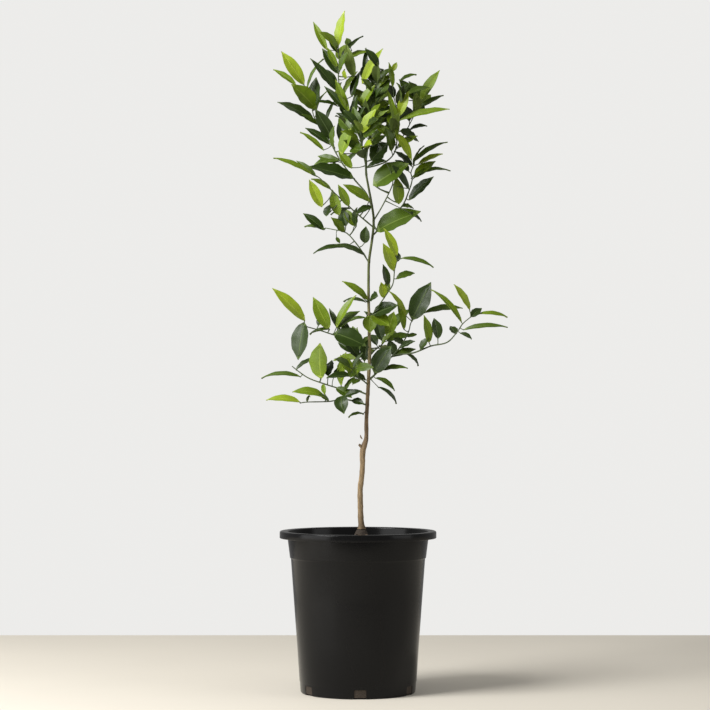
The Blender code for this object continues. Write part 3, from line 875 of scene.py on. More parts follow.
SHOOTS = (
    Shoot(
        "low_left_front",
        ((18, 0, 511), (-8, -10, 519), (-30, -18, 522), (-52, -26, 518), (-90, -36, 517), (-103, -40, 515)),
        1.5, 0.8,
        (
            Seen((300, 402), (266, 400), -6, 15, Y, 0.10), Seen((325, 397), (292, 392), -10, 17, B, 0.12),
            Seen((329, 401), (318, 394), -10, 9, M), Seen((307, 402), (309, 395), 4, 5, M),
            Seen((341, 396), (344, 414), -22, 22, D, 0.16), Seen((345, 396), (362, 391), -14, 12, D),
            Seen((364, 414), (348, 417), -12, 7, M, 0.14), Seen((352, 400), (364, 404), -18, 12, D),
        ),
    ),
    Shoot(
        "low_left_back",
        (
            (18, 0, 530), (-4, 9, 538), (-31, 14, 541), (-70, 22, 553), (-92, 26, 562), (-113, 30, 577),
            (-119, 32, 582),
        ),
        1.5, 0.8,
        (
            Seen((301, 377), (261, 378), 14, 11, M, 0.12), Seen((321, 379), (320, 343), -12, 36, B, 0.04),
            Seen((296, 370), (316, 358), 8, 12, D, 0.10), Seen((328, 376), (332, 360), 14, 18, D),
            Seen((333, 378), (341, 366), -6, 10, D), Seen((341, 386), (346, 352), -16, 20, B, 0.05),
            Seen((323, 384), (325, 395), -8, 8, B), Seen((336, 388), (352, 398), -12, 15, M, 0.10),
            Seen((344, 392), (356, 376), -10, 13, M),
        ),
    ),
    Shoot(
        "mid_left",
        ((20, 1, 614), (-10, -12, 628), (-44, -22, 637), (-69, -26, 645), (-91, -30, 651), (-98, -31, 655)),
        1.4, 0.8,
        (
            Seen((305, 321), (272, 288), -14, 19, Y, 0.07), Seen((304, 322), (298, 360), -6, 31, D, 0.03),
            Seen((329, 329), (313, 297), -10, 21, B, 0.05), Seen((330, 329), (309, 334), 10, 8, M, 0.10),
            Seen((336, 328), (356, 295), -10, 15, B, 0.07), Seen((337, 329), (360, 311), 6, 20, M, 0.10),
            Seen((318, 326), (327, 310), 12, 15, D), Seen((334, 333), (366, 346), -16, 34, D, 0.05),
            Seen((340, 330), (329, 308), 14, 9, S), Seen((350, 337), (341, 318), 16, 12, S),
        ),
    ),
    Shoot(
        "low_right",
        (
            (19, 1, 556), (35, 0, 571), (61, 2, 599), (99, -8, 605), (130, -16, 617), (158, -24, 623),
            (175, -28, 640), (186, -30, 656), (200, -34, 668),
        ),
        1.8, 0.8,
        (
            Seen((374, 373), (391, 346), -16, 30, D, 0.03), Seen((379, 371), (408, 368), -10, 12, M, 0.10),
            Seen((375, 378), (395, 391), -14, 10, M, 0.16), Seen((378, 387), (397, 404), 8, 9, S, 0.14),
            Seen((392, 357), (416, 349), 10, 14, M), Seen((394, 356), (389, 340), 14, 16, S),
            Seen((407, 354), (419, 366), 6, 9, S, 0.12), Seen((420, 349), (429, 338), -10, 13, S),
            Seen((429, 343), (424, 315), -8, 15, B, 0.08), Seen((438, 339), (434, 318), 12, 17, S, 0.10),
            Seen((456, 334), (450, 326), 8, 14, S), Seen((460, 333), (472, 339), -8, 9, S, 0.10),
            Seen((463, 330), (508, 327), -16, 12, M, 0.08), Seen((462, 323), (431, 289), 14, 12, B, 0.10),
            Seen((470, 310), (454, 284), -8, 14, Y), Seen((471, 317), (482, 308), 6, 14, D),
            Seen((478, 314), (508, 317), 6, 9, B, 0.10), Seen((366, 380), (352, 374), -14, 15, D),
        ),
    ),
    Shoot(
        "low_right_rise",
        ((61, 2, 599), (74, 6, 614), (86, 12, 633), (92, 16, 647), (97, 20, 663), (115, 26, 677)),
        1.3, 0.8,
        (
            Seen((412, 320), (431, 282), -10, 32, D, 0.02), Seen((406, 316), (388, 290), -10, 13, Y, 0.08),
            Seen((404, 330), (397, 300), 12, 12, B, 0.10), Seen((424, 313), (463, 308), 12, 15, M, 0.08),
            Seen((408, 337), (417, 334), 6, 9, M), Seen((400, 348), (415, 341), -10, 14, D),
            Seen((404, 345), (393, 338), 8, 14, S),
        ),
    ),
    Shoot(
        "mid_right",
        ((20, 2, 666), (32, -9, 682), (50, -22, 708), (62, -28, 727), (65, -32, 752), (69, -34, 767)),
        1.4, 0.8,
        (
            Seen((373, 315), (398, 305), -12, 27, D, 0.05), Seen((371, 315), (389, 326), -16, 26, B),
            Seen((370, 315), (370, 333), -8, 22, B, 0.05), Seen((384, 298), (381, 282), -8, 14, Y, 0.05),
            Seen((386, 294), (388, 280), 8, 10, B), Seen((396, 279), (415, 273), 10, 13, M, 0.12),
            Seen((388, 286), (383, 264), -8, 12, D, 0.08), Seen((394, 271), (383, 243), -10, 19, Y, 0.05),
            Seen((397, 256), (384, 228), 6, 15, Y), Seen((401, 258), (434, 267), -8, 10, M, 0.10),
            Seen((396, 262), (398, 252), 8, 12, D),
        ),
    ),
    Shoot(
        "mid_left_high",
        ((19, 0, 694), (14, -3, 699), (8, -7, 704)),
        1.1, 0.7,
        (
            Seen((368, 300), (342, 281), -12, 13, B, 0.10), Seen((366, 302), (343, 301), 12, 8, S, 0.14),
            Seen((370, 299), (378, 296), -14, 22, D), Seen((367, 318), (343, 326), 10, 9, M, 0.16),
        ),
    ),
    Shoot(
        "fan_left",
        ((19, 0, 768), (2, 5, 795), (-20, 14, 821), (-42, 23, 828), (-60, 31, 832)),
        1.3, 0.8,
        (
            Seen((324, 230), (303, 213), 8, 15, D), Seen((325, 229), (304, 226), 12, 9, M, 0.10),
            Seen((366, 256), (334, 244), -10, 12, S, 0.10), Seen((345, 247), (313, 253), -8, 14, D, 0.10),
            Seen((344, 232), (331, 217), -12, 15, B), Seen((346, 226), (342, 209), 8, 18, D),
            Seen((356, 227), (357, 207), -16, 18, D, 0.05), Seen((336, 237), (340, 243), 0, 6, M),
            Seen((355, 226), (344, 208), 12, 14, B), Seen((365, 243), (366, 226), -14, 16, D, 0.08),
        ),
    ),
    Shoot(
        "high_left",
        ((28, -2, 830), (-2, -14, 854), (-16, -22, 866), (-50, -40, 896), (-67, -48, 913), (-81, -54, 921)),
        1.4, 0.8,
        (
            Seen((322, 207), (309, 179), -8, 16, Y), Seen((339, 215), (332, 189), -10, 17, B, 0.05),
            Seen((326, 216), (330, 204), 6, 14, D), Seen((331, 189), (311, 178), 10, 9, B, 0.10),
            Seen((349, 206), (338, 184), -12, 13, B), Seen((370, 201), (343, 184), -14, 17, B, 0.05),
            Seen((312, 174), (273, 157), -12, 10, B, 0.08), Seen((316, 176), (296, 160), 14, 10, M),
            Seen((350, 208), (330, 214), 14, 9, D), Seen((372, 206), (356, 214), -14, 15, D, 0.08),
        ),
    ),
    Shoot(
        "high_right_front",
        ((28, -2, 842), (45, -18, 870), (60, -34, 900), (62, -40, 912)),
        1.3, 0.8,
        (
            Seen((373, 185), (409, 163), -16, 42, M, 0.03), Seen((399, 204), (396, 176), -14, 19, B, 0.05),
            Seen((409, 189), (391, 163), -8, 13, D), Seen((398, 203), (398, 182), 12, 12, D),
            Seen((376, 231), (421, 211), -16, 45, M, 0.04), Seen((409, 212), (422, 221), 14, 12, D),
            Seen((386, 160), (367, 166), 6, 10, D, 0.10),
        ),
    ),
    Shoot(
        "high_right_back",
        (
            (26, -2, 815), (52, 8, 843), (79, 24, 870), (91, 32, 896), (98, 36, 919), (96, 38, 933),
            (101, 40, 946),
        ),
        1.6, 0.8,
        (
            Seen((409, 200), (434, 176), -10, 20, D, 0.04), Seen((411, 178), (451, 170), 6, 12, M, 0.14),
            Seen((418, 164), (443, 153), -10, 15, Y, 0.05), Seen((412, 166), (394, 150), 10, 17, D),
            Seen((413, 162), (448, 141), 10, 12, M, 0.10), Seen((402, 206), (414, 208), 8, 14, M, 0.10),
        ),
        more=3, start=0.6,
    ),
    Shoot(
        "crown_left",
        (
            (24, 0, 870), (14, 6, 893), (-4, 14, 915), (-18, 20, 934), (-34, 27, 957), (-51, 35, 989),
            (-68, 41, 1016), (-80, 45, 1036), (-84, 47, 1056),
        ),
        1.7, 0.8,
        (
            Seen((304, 84), (281, 50), -8, 20, Y, 0.05), Seen((316, 108), (291, 83), -14, 34, B, 0.04),
            Seen((296, 84), (273, 68), 14, 11, B), Seen((307, 88), (323, 57), -8, 10, M, 0.08),
            Seen((314, 109), (316, 76), 12, 25, D, 0.04), Seen((314, 120), (277, 101), -12, 24, S, 0.05),
            Seen((333, 139), (315, 108), -14, 22, S, 0.05), Seen((326, 120), (335, 99), 12, 9, D, 0.05),
            Seen((330, 144), (305, 127), 10, 14, D), Seen((324, 150), (300, 131), 6, 9, B, 0.08),
            Seen((354, 178), (307, 166), -18, 38, D, 0.03), Seen((340, 160), (314, 164), 12, 22, M, 0.08),
            Seen((339, 158), (330, 172), 16, 14, M), Seen((345, 165), (357, 152), -14, 18, D),
            Seen((347, 146), (339, 119), 8, 18, D),
        ),
        more=6, start=0.4, tints=(D, M, M, B),
    ),
    Shoot(
        "crown_front",
        ((16, 1, 925), (13, -16, 944), (9, -36, 962), (6, -56, 984), (5, -66, 1000)),
        1.3, 0.8,
        (
            Seen((341, 154), (351, 127), -16, 22, B, 0.04), Seen((351, 148), (362, 150), -16, 22, M, 0.05),
            Seen((362, 132), (376, 108), -16, 20, Y, 0.04), Seen((371, 160), (389, 142), -10, 32, D, 0.04),
            Seen((352, 168), (338, 150), 6, 13, B),
        ),
        more=12, start=0.3, size=48, tints=(D, M, B, Y), twigs=3,
    ),
    Shoot(
        "crown_right",
        (
            (15, 1, 938), (32, -5, 941), (52, -8, 949), (66, -7, 966), (71, -8, 1000), (70, -12, 1034),
            (64, -14, 1064),
        ),
        1.5, 0.8,
        (
            Seen((397, 140), (386, 86), -10, 11, B, 0.10), Seen((398, 116), (409, 90), -12, 15, Y, 0.04),
            Seen((393, 86), (389, 61), -8, 9, B, 0.05), Seen((396, 132), (412, 160), -16, 15, Y),
            Seen((399, 120), (450, 108), -12, 15, B), Seen((371, 139), (394, 124), 6, 13, M, 0.10),
            Seen((400, 130), (419, 141), 12, 26, D, 0.05), Seen((378, 116), (393, 108), 10, 20, D, 0.05),
        ),
        more=8, start=0.4, tints=(D, M, M, B), twigs=2,
    ),
    Shoot(
        "crown_right_outer",
        ((66, -7, 966), (78, 8, 990), (92, 18, 1016), (103, 22, 1040), (106, 24, 1062)),
        1.1, 0.7,
        (
            Seen((421, 99), (440, 69), -8, 17, B, 0.05), Seen((420, 107), (444, 94), 6, 12, M, 0.05),
            Seen((420, 98), (409, 80), 10, 20, M, 0.05), Seen((400, 80), (417, 73), 8, 9, M, 0.10),
            Seen((399, 98), (410, 82), -12, 14, M, 0.08), Seen((416, 112), (425, 105), 8, 16, D),
            Seen((415, 112), (419, 102), 12, 12, D),
        ),
        more=5, start=0.3, tints=(D, M, B),
    ),
    Shoot(
        "crown_back",
        ((14, 2, 950), (18, 14, 984), (22, 32, 1012), (26, 54, 1036), (28, 74, 1056)),
        1.4, 0.8, more=18, start=0.25, size=52, tints=(M, D, B, M), twigs=4,
    ),
    Shoot(
        "crown_centre",
        ((14, 2, 948), (18, 2, 976), (21, 0, 1005), (26, -4, 1040), (30, -8, 1068), (34, -8, 1090)),
        1.3, 0.8,
        (
            Seen((362, 83), (383, 47), -12, 15, Y, 0.08), Seen((361, 105), (375, 84), -14, 17, B),
            Seen((365, 82), (366, 46), 12, 9, D, 0.05), Seen((368, 96), (389, 74), 10, 24, M, 0.05),
            Seen((372, 98), (391, 78), -6, 26, M, 0.05), Seen((364, 74), (384, 68), 14, 8, D, 0.12),
            Seen((393, 70), (397, 61), 0, 8, Y), Seen((361, 76), (372, 60), 10, 14, D),
        ),
        more=12, start=0.3, size=48, tints=(D, M, B), twigs=2,
    ),
    Shoot(
        "leader",
        (
            (8, 2, 970), (4, 0, 990), (-4, -2, 1006), (-18, -6, 1037), (-28, -8, 1066), (-35, -8, 1095),
            (-34, -6, 1127), (-35, -4, 1150),
        ),
        1.45, 0.8,
        (
            Seen((338, 45), (344.5, 9), -8, 19, Y, 0.04), Seen((327, 49), (313, 20), 4, 11, B),
            Seen((337, 51), (328, 34), -6, 9, D), Seen((341, 56), (363, 34), 6, 11, D),
            Seen((339, 73), (322, 47), 8, 16, D, 0.05), Seen((337, 66), (327, 46), -8, 10, B, 0.05),
            Seen((354, 76), (346, 42), -14, 17, B, 0.05), Seen((337, 90), (310, 57), -10, 13, D),
            Seen((349, 111), (335, 78), -12, 12, B), Seen((348, 112), (324, 85), 8, 12, D),
            Seen((346, 78), (344, 68), -12, 10, Y), Seen((352, 96), (360, 70), 8, 15, D),
            Seen((354, 122), (336, 112), 12, 10, S), Seen((354, 118), (357, 94), -10, 15, D),
        ),
        more=8, start=0.2, tints=(D, M, B), twigs=2,
    ),
    Shoot(
        "low_front",
        ((18, 0, 548), (8, -16, 556), (-4, -30, 562), (-10, -50, 570), (-8, -70, 578)),
        1.3, 0.8, more=10, start=0.25, size=44, tints=(D, M, B),
    ),
    Shoot(
        "low_back",
        ((20, 1, 572), (12, 16, 584), (2, 34, 594), (-2, 58, 604), (4, 82, 614)),
        1.3, 0.8, more=13, start=0.25, size=50, tints=(D, M, B),
    ),
    Shoot(
        "low_right_back",
        ((21, 2, 600), (32, 20, 612), (44, 44, 622), (52, 70, 634), (56, 92, 648)),
        1.3, 0.8, more=11, start=0.3, size=50, tints=(D, M, B),
    ),
)


@dataclass
class Crown:
    """Every shoot with its leaves, joined kind by kind."""

    shoots: Sequence[Shoot] = SHOOTS
    finish: TwigFinish = TwigFinish()

    def build(self) -> None:
        """Grows the crown and joins its wood in one piece and its leaves in one piece for each tint."""
        wood = bmesh.new()
        blades = {tint: bmesh.new() for tint in Tint}
        count = 0
        for shoot in self.shoots:
            twigs, leaves = shoot.branch()
            for limb in (shoot, *twigs):
                limb.wood(wood)
            for leaf in leaves:
                leaf.blade(blades[leaf.tint])
                leaf.stalk(wood)
            count += len(leaves)
        piece = linked("shoots", wood, [self.finish.material()])
        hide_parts(*[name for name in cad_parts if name.startswith(("bough", "leader"))])
        for tint, shape in blades.items():
            piece = linked(f"leaves_{tint.value}", shape, LEAF_FINISHES[tint].materials(tint))
            if tint is Tint.MID:
                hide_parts(*[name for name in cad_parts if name.startswith("foliage")])
        LOG.info("%d leaves on %d shoots", count, len(self.shoots))


@dataclass
class Trunk:
    """The grafted stem, from the flat cut at the potting mix to its fork.

    Attributes:
        line: Points of its centre line, with the radius at each.
        scars: Heights of its ring scars.
        scar: Half height of a ring scar and how far it swells.
        relief: Depth of the bark's furrows and of its lumps.
        furrow: Scale of the furrows across the stem and along it, for metres.
        lump: Scale of the lumps across the stem and along it, for metres.
        thin: Radius under which the relief fades with the stem.
        flare: Height of the root flare and depth of its toes.
        toes: How many toes there are, and their turn about the stem in radians.
        stub: Points of the cut stub above the union, with the radius at each.
        bud: Points of the bud over it, with the radius at each.
    """

    line: Sequence[Knot] = (
        (6, 0, 290.3, 7.8), (6, 0, 294, 6.4), (5.6, 0, 300, 5.3), (5, 0, 308, 5.0), (4.5, 0.4, 325, 4.9),
        (4, 1, 342, 4.8), (4, 1, 363, 4.8), (6.5, 1, 382, 4.6), (8, 0, 404, 4.6), (8, 0, 420, 4.9),
        (8.6, 0, 431, 5.3), (11, 0, 439, 5.2), (13.6, 0, 447, 4.4), (15, 0, 456, 3.8), (15, 0, 485, 3.5),
        (17, 0.5, 522, 3.4), (19, 1, 560, 3.2), (21, 2, 607, 2.9), (20, 2, 640, 2.8), (20, 2, 668, 2.7),
        (19, 1, 700, 2.5), (19, 0, 743, 2.4), (20, -1, 773, 2.4), (26, -2, 813, 2.2), (28, -2, 845, 2.1),
        (24, 0, 875, 2.0), (19, 1, 902, 1.95), (14.5, 2, 929, 1.85), (14.5, 2, 951, 1.7),
        (8, 2, 970.5, 1.5),
    )
    scars: Sequence[float] = (
        312, 330, 349, 371, 392, 413, 468, 497, 512, 531, 548, 572, 600, 614, 640, 667, 694, 768, 815, 830,
        842, 870, 925, 938, 950,
    )
    scar: tuple[float, float] = (2.2, 0.32)
    relief: tuple[float, float] = (0.21, 0.35)
    furrow: tuple[float, float] = (900.0, 130.0)
    lump: tuple[float, float] = (220.0, 60.0)
    thin: float = 4.0
    flare: tuple[float, float] = (12.0, 0.9)
    toes: tuple[int, float] = (3, 0.7)
    stub: Sequence[Knot] = ((8.5, -1, 435, 3.0), (4.5, -2, 438.5, 2.6), (1.8, -2.6, 441.5, 2.1))
    stub_sides: int = 10
    bud: Sequence[Knot] = ((7.5, -2, 451, 0.9), (5, -3, 454.5, 1.3), (4, -3.4, 458.5, 0.5))
    bud_sides: int = 6
    sides: int = 20
    steps: int = 8
    finish: BarkFinish = BarkFinish()

    def radius_at(self, height: float, radius: float) -> float:
        """Adds the ring scars' swelling to the stem's radius.

        Args:
            height: The height in millimetres.
            radius: The radius there without it, in millimetres.

        Returns:
            The radius in metres.
        """
        half, most = self.scar
        swell = sum(math.exp(-(((height - scar) / half) ** 2)) for scar in self.scars)
        return (radius + most * min(1.0, swell)) * MM

    def push(self, arm: Vector, height: float) -> float:
        """Works out how far the bark stands off its smooth tube.

        Args:
            arm: The vertex's place from the centre line, in metres.
            height: The centre line's height in metres.

        Returns:
            The distance in metres.
        """
        across, along = self.furrow
        furrow = noise.noise(Vector((arm.x * across, arm.y * across, height * along)))
        across, along = self.lump
        lump = noise.noise(Vector((arm.x * across, arm.y * across, height * along + 7)))
        rough = (self.relief[0] * furrow + self.relief[1] * lump) * min(1.0, arm.length / (self.thin * MM))
        flare, depth = self.flare
        count, turn = self.toes
        fade = max(0.0, 1 - (height / MM - self.line[0][2]) / flare)
        return (rough + depth * fade * math.sin(count * math.atan2(arm.y, arm.x) + turn)) * MM

    def build(self) -> None:
        """Builds the stem with its furrows, scars, flared foot, cut stub and bud."""
        centre = smooth_line([Vector(row[:3]) * MM for row in self.line], self.steps)
        widths = smooth_line([Vector((row[3], 0, 0)) for row in self.line], self.steps)
        radii = [self.radius_at(point.z / MM, width.x) for point, width in zip(centre, widths)]
        shape = bmesh.new()
        rings = tube(shape, centre, radii, self.sides)
        for ring, middle in zip(rings, centre):
            for vertex in ring:
                arm = vertex.co - middle
                vertex.co += arm.normalized() * self.push(arm, middle.z)
        for vertex in rings[0]:
            vertex.co.z = centre[0].z
        sprig(shape, self.stub, self.stub_sides, Vector())
        sprig(shape, self.bud, self.bud_sides, Vector())
        piece = linked("stem", shape, [self.finish.material()])
        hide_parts("trunk")


@dataclass
class Pot:
    """The nursery pot: a thin turned shell with a down-turned rim and drainage slots.

    Attributes:
        height: Height of the rim's top.
        wall: Thickness of the wall and floor.
        base: Outer radius at the foot.
        corner: Radius of the bend at the foot.
        foot: Height and depth of the step over the foot.
        shoulder: Outer radius and height where the wall steps out.
        step: How far it steps out there.
        neck: Outer radius under the rim.
        rim: Outer radius of the rim.
        lip: Height of the rim's down-turned lip.
        slot: Width and height of a drainage slot.
        slots: How many slots there are.
        first_slot: Direction of the first, in degrees.
        slot_round: Rounding of a slot's upper corners.
        block: Depth of the block that cuts a slot, and how far its middle lies outside the base.
        sides: Steps of the turned shell.
        sharp: Angle in degrees past which the shell's edges stay sharp.
    """

    height: float = 287.0
    wall: float = 2.0
    base: float = 102.4
    corner: float = 3.0
    foot: tuple[float, float] = (20.0, 0.5)
    shoulder: tuple[float, float] = (119.9, 238.0)
    step: float = 1.5
    neck: float = 125.9
    rim: float = 140.0
    lip: float = 12.5
    slot: tuple[float, float] = (21.5, 16.5)
    slots: int = 6
    first_slot: float = -88.0
    slot_round: float = 2.5
    block: tuple[float, float] = (14.0, 1.5)
    sides: int = 144
    sharp: float = 38.0
    finish: PotFinish = PotFinish()

    def side(self, height: float) -> float:
        """Returns the outer radius at a height below the shoulder."""
        return self.base + (self.shoulder[0] - self.base) * height / self.shoulder[1]

    def bend(self, centre: Sequence[float], size: float, start: float, end: float, steps: int = 5) -> list:
        """Returns points on a bend of the section, from one angle in degrees to another."""
        turns = [math.radians(start + (end - start) * step / steps) for step in range(steps + 1)]
        return [(centre[0] + size * math.cos(turn), centre[1] + size * math.sin(turn)) for turn in turns]

    def section(self) -> list[tuple[float, float]]:
        """Draws the section, from the middle of the underside round the rim to the floor's middle.

        Returns:
            Radius and height of each point.
        """
        wide, rise = self.shoulder
        out = wide + self.step
        under, top = self.height - self.lip, self.height - 3.5
        foot, ledge = self.foot
        points = [(0.0, 0.0), (60.0, 0.0)]
        points += self.bend((self.side(0) - self.corner, self.corner), self.corner, -90, -4)
        points += [(self.side(foot - 0.4), foot - 0.4), (self.side(foot) + 0.15, foot + 0.1)]
        points += [(self.side(foot + 0.6) + ledge, foot + 0.8)]
        points += [(self.side(90), 90.0), (self.side(165), 165.0)]
        points += [(wide, rise - 0.2), (wide + 0.3, rise + 0.3), (out, rise + 1.6), (out + 0.25, rise + 2.8)]
        points += [(self.neck, under), (self.neck + 0.5, self.height - 4.0)]
        points += self.bend((self.neck + 2.0, top), 1.5, 180, 90, 3)
        points += self.bend((self.rim - 3.5, top), 1.5, 90, 0, 3)
        points += self.bend((self.rim - 1.0, under + 1.0), 1.0, 180, 360, 5)
        points += self.bend((self.rim - 2.6, self.height - 2.6), 2.6, 0, 82, 5)
        points += self.bend((self.neck + 1.8, self.height - 2.4), 2.2, 88, 180, 5)
        points += [(self.neck - self.wall, under), (out - self.wall, rise + 1.6)]
        points += [(wide - self.wall, rise - 0.2), (self.side(foot + 1) - self.wall + ledge, foot + 1)]
        inner = self.side(self.corner) - self.wall - self.corner
        points += self.bend((inner, self.wall + self.corner), self.corner, 0, -90, 3)
        return [*points, (0.0, self.wall)]

    def cutter(self) -> bpy.types.Object:
        """Makes the blocks, with rounded tops, that cut the slots.

        Returns:
            One object with every block.
        """
        shape = bmesh.new()
        width, tall = self.slot
        deep, out = self.block
        for index in range(self.slots):
            block = bmesh.ops.create_cube(shape, size=1.0)["verts"]
            bmesh.ops.scale(shape, verts=block, vec=(deep, width, tall * 2))
            edges = {edge for vertex in block for edge in vertex.link_edges}
            tops = [edge for edge in edges if all(end.co.z > 0 for end in edge.verts) and along_x(edge)]
            made = bmesh.ops.bevel(
                shape, geom=tops, offset=self.slot_round, affect="EDGES", segments=3, profile=0.5, material=-1
            )
            block = list({vertex for vertex in block if vertex.is_valid} | set(made["verts"]))
            bmesh.ops.translate(shape, verts=block, vec=(self.base + out, 0, 0))
            turn = Matrix.Rotation(math.radians(self.first_slot + index * 360 / self.slots), 3, "Z")
            bmesh.ops.rotate(shape, verts=block, cent=(0, 0, 0), matrix=turn)
        bmesh.ops.scale(shape, verts=shape.verts, vec=(MM, MM, MM))
        mesh = bpy.data.meshes.new("slot_blocks")
        shape.to_mesh(mesh)
        shape.free()
        blocks = bpy.data.objects.new("slot_blocks", mesh)
        bpy.context.scene.collection.objects.link(blocks)
        return blocks

    def build(self) -> None:
        """Spins the section, cuts the slots and dresses the pot."""
        shape = bmesh.new()
        points = [shape.verts.new((radius * MM, 0, height * MM)) for radius, height in self.section()]
        edges = [shape.edges.new(pair) for pair in zip(points, points[1:])]
        turn = {"cent": (0, 0, 0), "axis": (0, 0, 1), "angle": math.tau, "steps": self.sides}
        bmesh.ops.spin(shape, geom=points + edges, use_merge=True, **turn)
        bmesh.ops.remove_doubles(shape, verts=shape.verts, dist=1e-5)
        bmesh.ops.recalc_face_normals(shape, faces=shape.faces)
        piece = linked("pot_shell", shape, [self.finish.material()])
        blocks = self.cutter()
        cut = piece.modifiers.new("slots", "BOOLEAN")
        cut.operation, cut.solver, cut.object = "DIFFERENCE", "EXACT", blocks
        graph = bpy.context.evaluated_depsgraph_get()
        mesh = bpy.data.meshes.new_from_object(piece.evaluated_get(graph))
        piece.modifiers.clear()
        piece.data = mesh
        mesh.name = "pot_shell"
        mesh.shade_smooth()
        mesh.set_sharp_from_angle(angle=math.radians(self.sharp))
        bpy.data.objects.remove(blocks)
        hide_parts("pot")


def along_x(edge: bmesh.types.BMEdge) -> bool:
    """Returns whether an edge runs along X."""
    return abs(edge.verts[0].co.x - edge.verts[1].co.x) > 1


@dataclass
class PottingMix:
    """The bark and peat mix, with chips, perlite and a collar at the stem.

    Attributes:
        top: Height of its surface.
        bottom: Height of its underside, over the pot's floor.
        radius: Its radius at the surface.
        taper: Its radius at the underside, as a share of that.
        collar: Radii about the stem at which the raised collar starts to fall and ends.
        crumbly: Radii about the stem over which the surface turns crumbly.
        coarse: Width and height of the large lumps.
        fine: Width and height of the small lumps.
        sunk: How far the surface has settled.
        ground: Height of the collar's top, where the stem starts.
        stem: Where the stem stands along X.
        stem_room: Radius about the stem that no crumb falls in.
        rings: Rings of faces from the edge to the middle.
        sides: Steps of its edge.
        spread: Share of the radius that the crumbs fall on.
        uneven: How far a crumb's surface departs from its ball, as a share of its radius.
        proud: How far a crumb's middle stands over the surface, as a share of its thickness.
        chips: How many bark chips lie on it.
        perlite: How many grains of perlite lie on it.
        seed: Seed of the crumbs.
    """

    top: float = 266.0
    bottom: float = 2.6
    radius: float = 121.0
    taper: float = 0.84
    collar: tuple[float, float] = (7.0, 20.0)
    crumbly: tuple[float, float] = (8.0, 12.0)
    coarse: tuple[float, float] = (11.0, 1.1)
    fine: tuple[float, float] = (4.0, 0.6)
    sunk: float = 0.6
    ground: float = 290.0
    stem: float = 6.0
    stem_room: float = 9.0
    rings: int = 46
    sides: int = 96
    spread: float = 0.96
    uneven: float = 0.3
    proud: float = 0.35
    chips: int = 420
    perlite: int = 90
    seed: int = 11

    def level(self, x: float, y: float) -> float:
        """Works out the mix's height at a place.

        Args:
            x: The place along X.
            y: The place along Y.

        Returns:
            The height.
        """
        away = math.hypot(x - self.stem, y)
        share, fade = (
            min(1.0, max(0.0, (away - start) / (end - start))) for start, end in (self.collar, self.crumbly)
        )
        hump = (self.ground - self.top) * (1 - share * share * (3 - 2 * share))
        lumps = 0.0
        for (width, high), layer in ((self.coarse, 3), (self.fine, 9)):
            lumps += high * noise.noise(Vector((x / width, y / width, layer)))
        return self.top + hump + lumps * fade - self.sunk

    def bed(self) -> None:
        """Builds the bed: a disc whose surface is crumbly, closed below."""
        shape = bmesh.new()
        rim = bmesh.ops.create_circle(shape, cap_ends=True, radius=self.radius, segments=self.sides)["verts"]
        surface = bmesh.ops.extrude_discrete_faces(shape, faces=[rim[0].link_faces[0]])["faces"][0]
        for vertex in surface.verts:
            vertex.co.z = self.top
        for _ in range(self.rings - 1):
            bmesh.ops.inset_individual(shape, faces=[surface], thickness=self.radius / self.rings)
        for vertex in shape.verts:
            if vertex.co.z > 0:
                vertex.co.z = self.level(vertex.co.x, vertex.co.y)
            else:
                vertex.co = (vertex.co.x * self.taper, vertex.co.y * self.taper, self.bottom)
        bmesh.ops.contextual_create(shape, geom=[edge for edge in shape.edges if edge.is_boundary])
        bmesh.ops.scale(shape, verts=shape.verts, vec=(MM, MM, MM))
        bmesh.ops.recalc_face_normals(shape, faces=shape.faces)
        finish = SoilFinish("potting_mix", (0.012, 0.009, 0.006), (0.062, 0.044, 0.030))
        piece = linked("potting_mix", shape, [finish.material()])
        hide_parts("soil", "soil_collar")

    def crumbs(self, name: str, count: int, size: Sequence[float], flat: float, finish: SoilFinish) -> None:
        """Scatters crumbs of one kind over the bed.

        Args:
            name: The piece's name.
            count: How many crumbs.
            size: Least and greatest half length.
            flat: Thickness as a share of the length.
            finish: Their finish.
        """
        rng = random.Random(f"{name}{self.seed}")
        shape = bmesh.new()
        for _ in range(count):
            turn = rng.uniform(0, math.tau)
            away = self.radius * self.spread * math.sqrt(rng.uniform(0.004, 1))
            x, y = away * math.cos(turn), away * math.sin(turn)
            if math.hypot(x - self.stem, y) < self.stem_room:
                continue
            half = rng.uniform(*size)
            crumb = bmesh.ops.create_icosphere(shape, subdivisions=1, radius=1.0)["verts"]
            bmesh.ops.scale(shape, verts=crumb, vec=(half, half * rng.uniform(0.4, 0.9), half * flat))
            tilt = Matrix.Rotation(rng.uniform(-0.5, 0.5), 3, "X")
            tilt = tilt @ Matrix.Rotation(rng.uniform(0, math.tau), 3, "Z")
            bmesh.ops.rotate(shape, verts=crumb, cent=(0, 0, 0), matrix=tilt)
            for vertex in crumb:
                vertex.co *= 1 + self.uneven * noise.noise(vertex.co + Vector((x, y, 0)))
            bmesh.ops.translate(shape, verts=crumb, vec=(x, y, self.level(x, y) + half * flat * self.proud))
        bmesh.ops.scale(shape, verts=shape.verts, vec=(MM, MM, MM))
        bmesh.ops.recalc_face_normals(shape, faces=shape.faces)
        linked(name, shape, [finish.material()])

    def build(self) -> None:
        """Builds the bed, the bark chips and the perlite."""
        self.bed()
        chip = SoilFinish("bark_chip", (0.028, 0.017, 0.010), (0.115, 0.072, 0.042))
        self.crumbs("bark_chips", self.chips, (1.6, 5.5), 0.32, chip)
        white = SoilFinish("perlite", (0.42, 0.40, 0.36), (0.72, 0.70, 0.65))
        self.crumbs("perlite", self.perlite, (0.7, 1.6), 0.8, white)


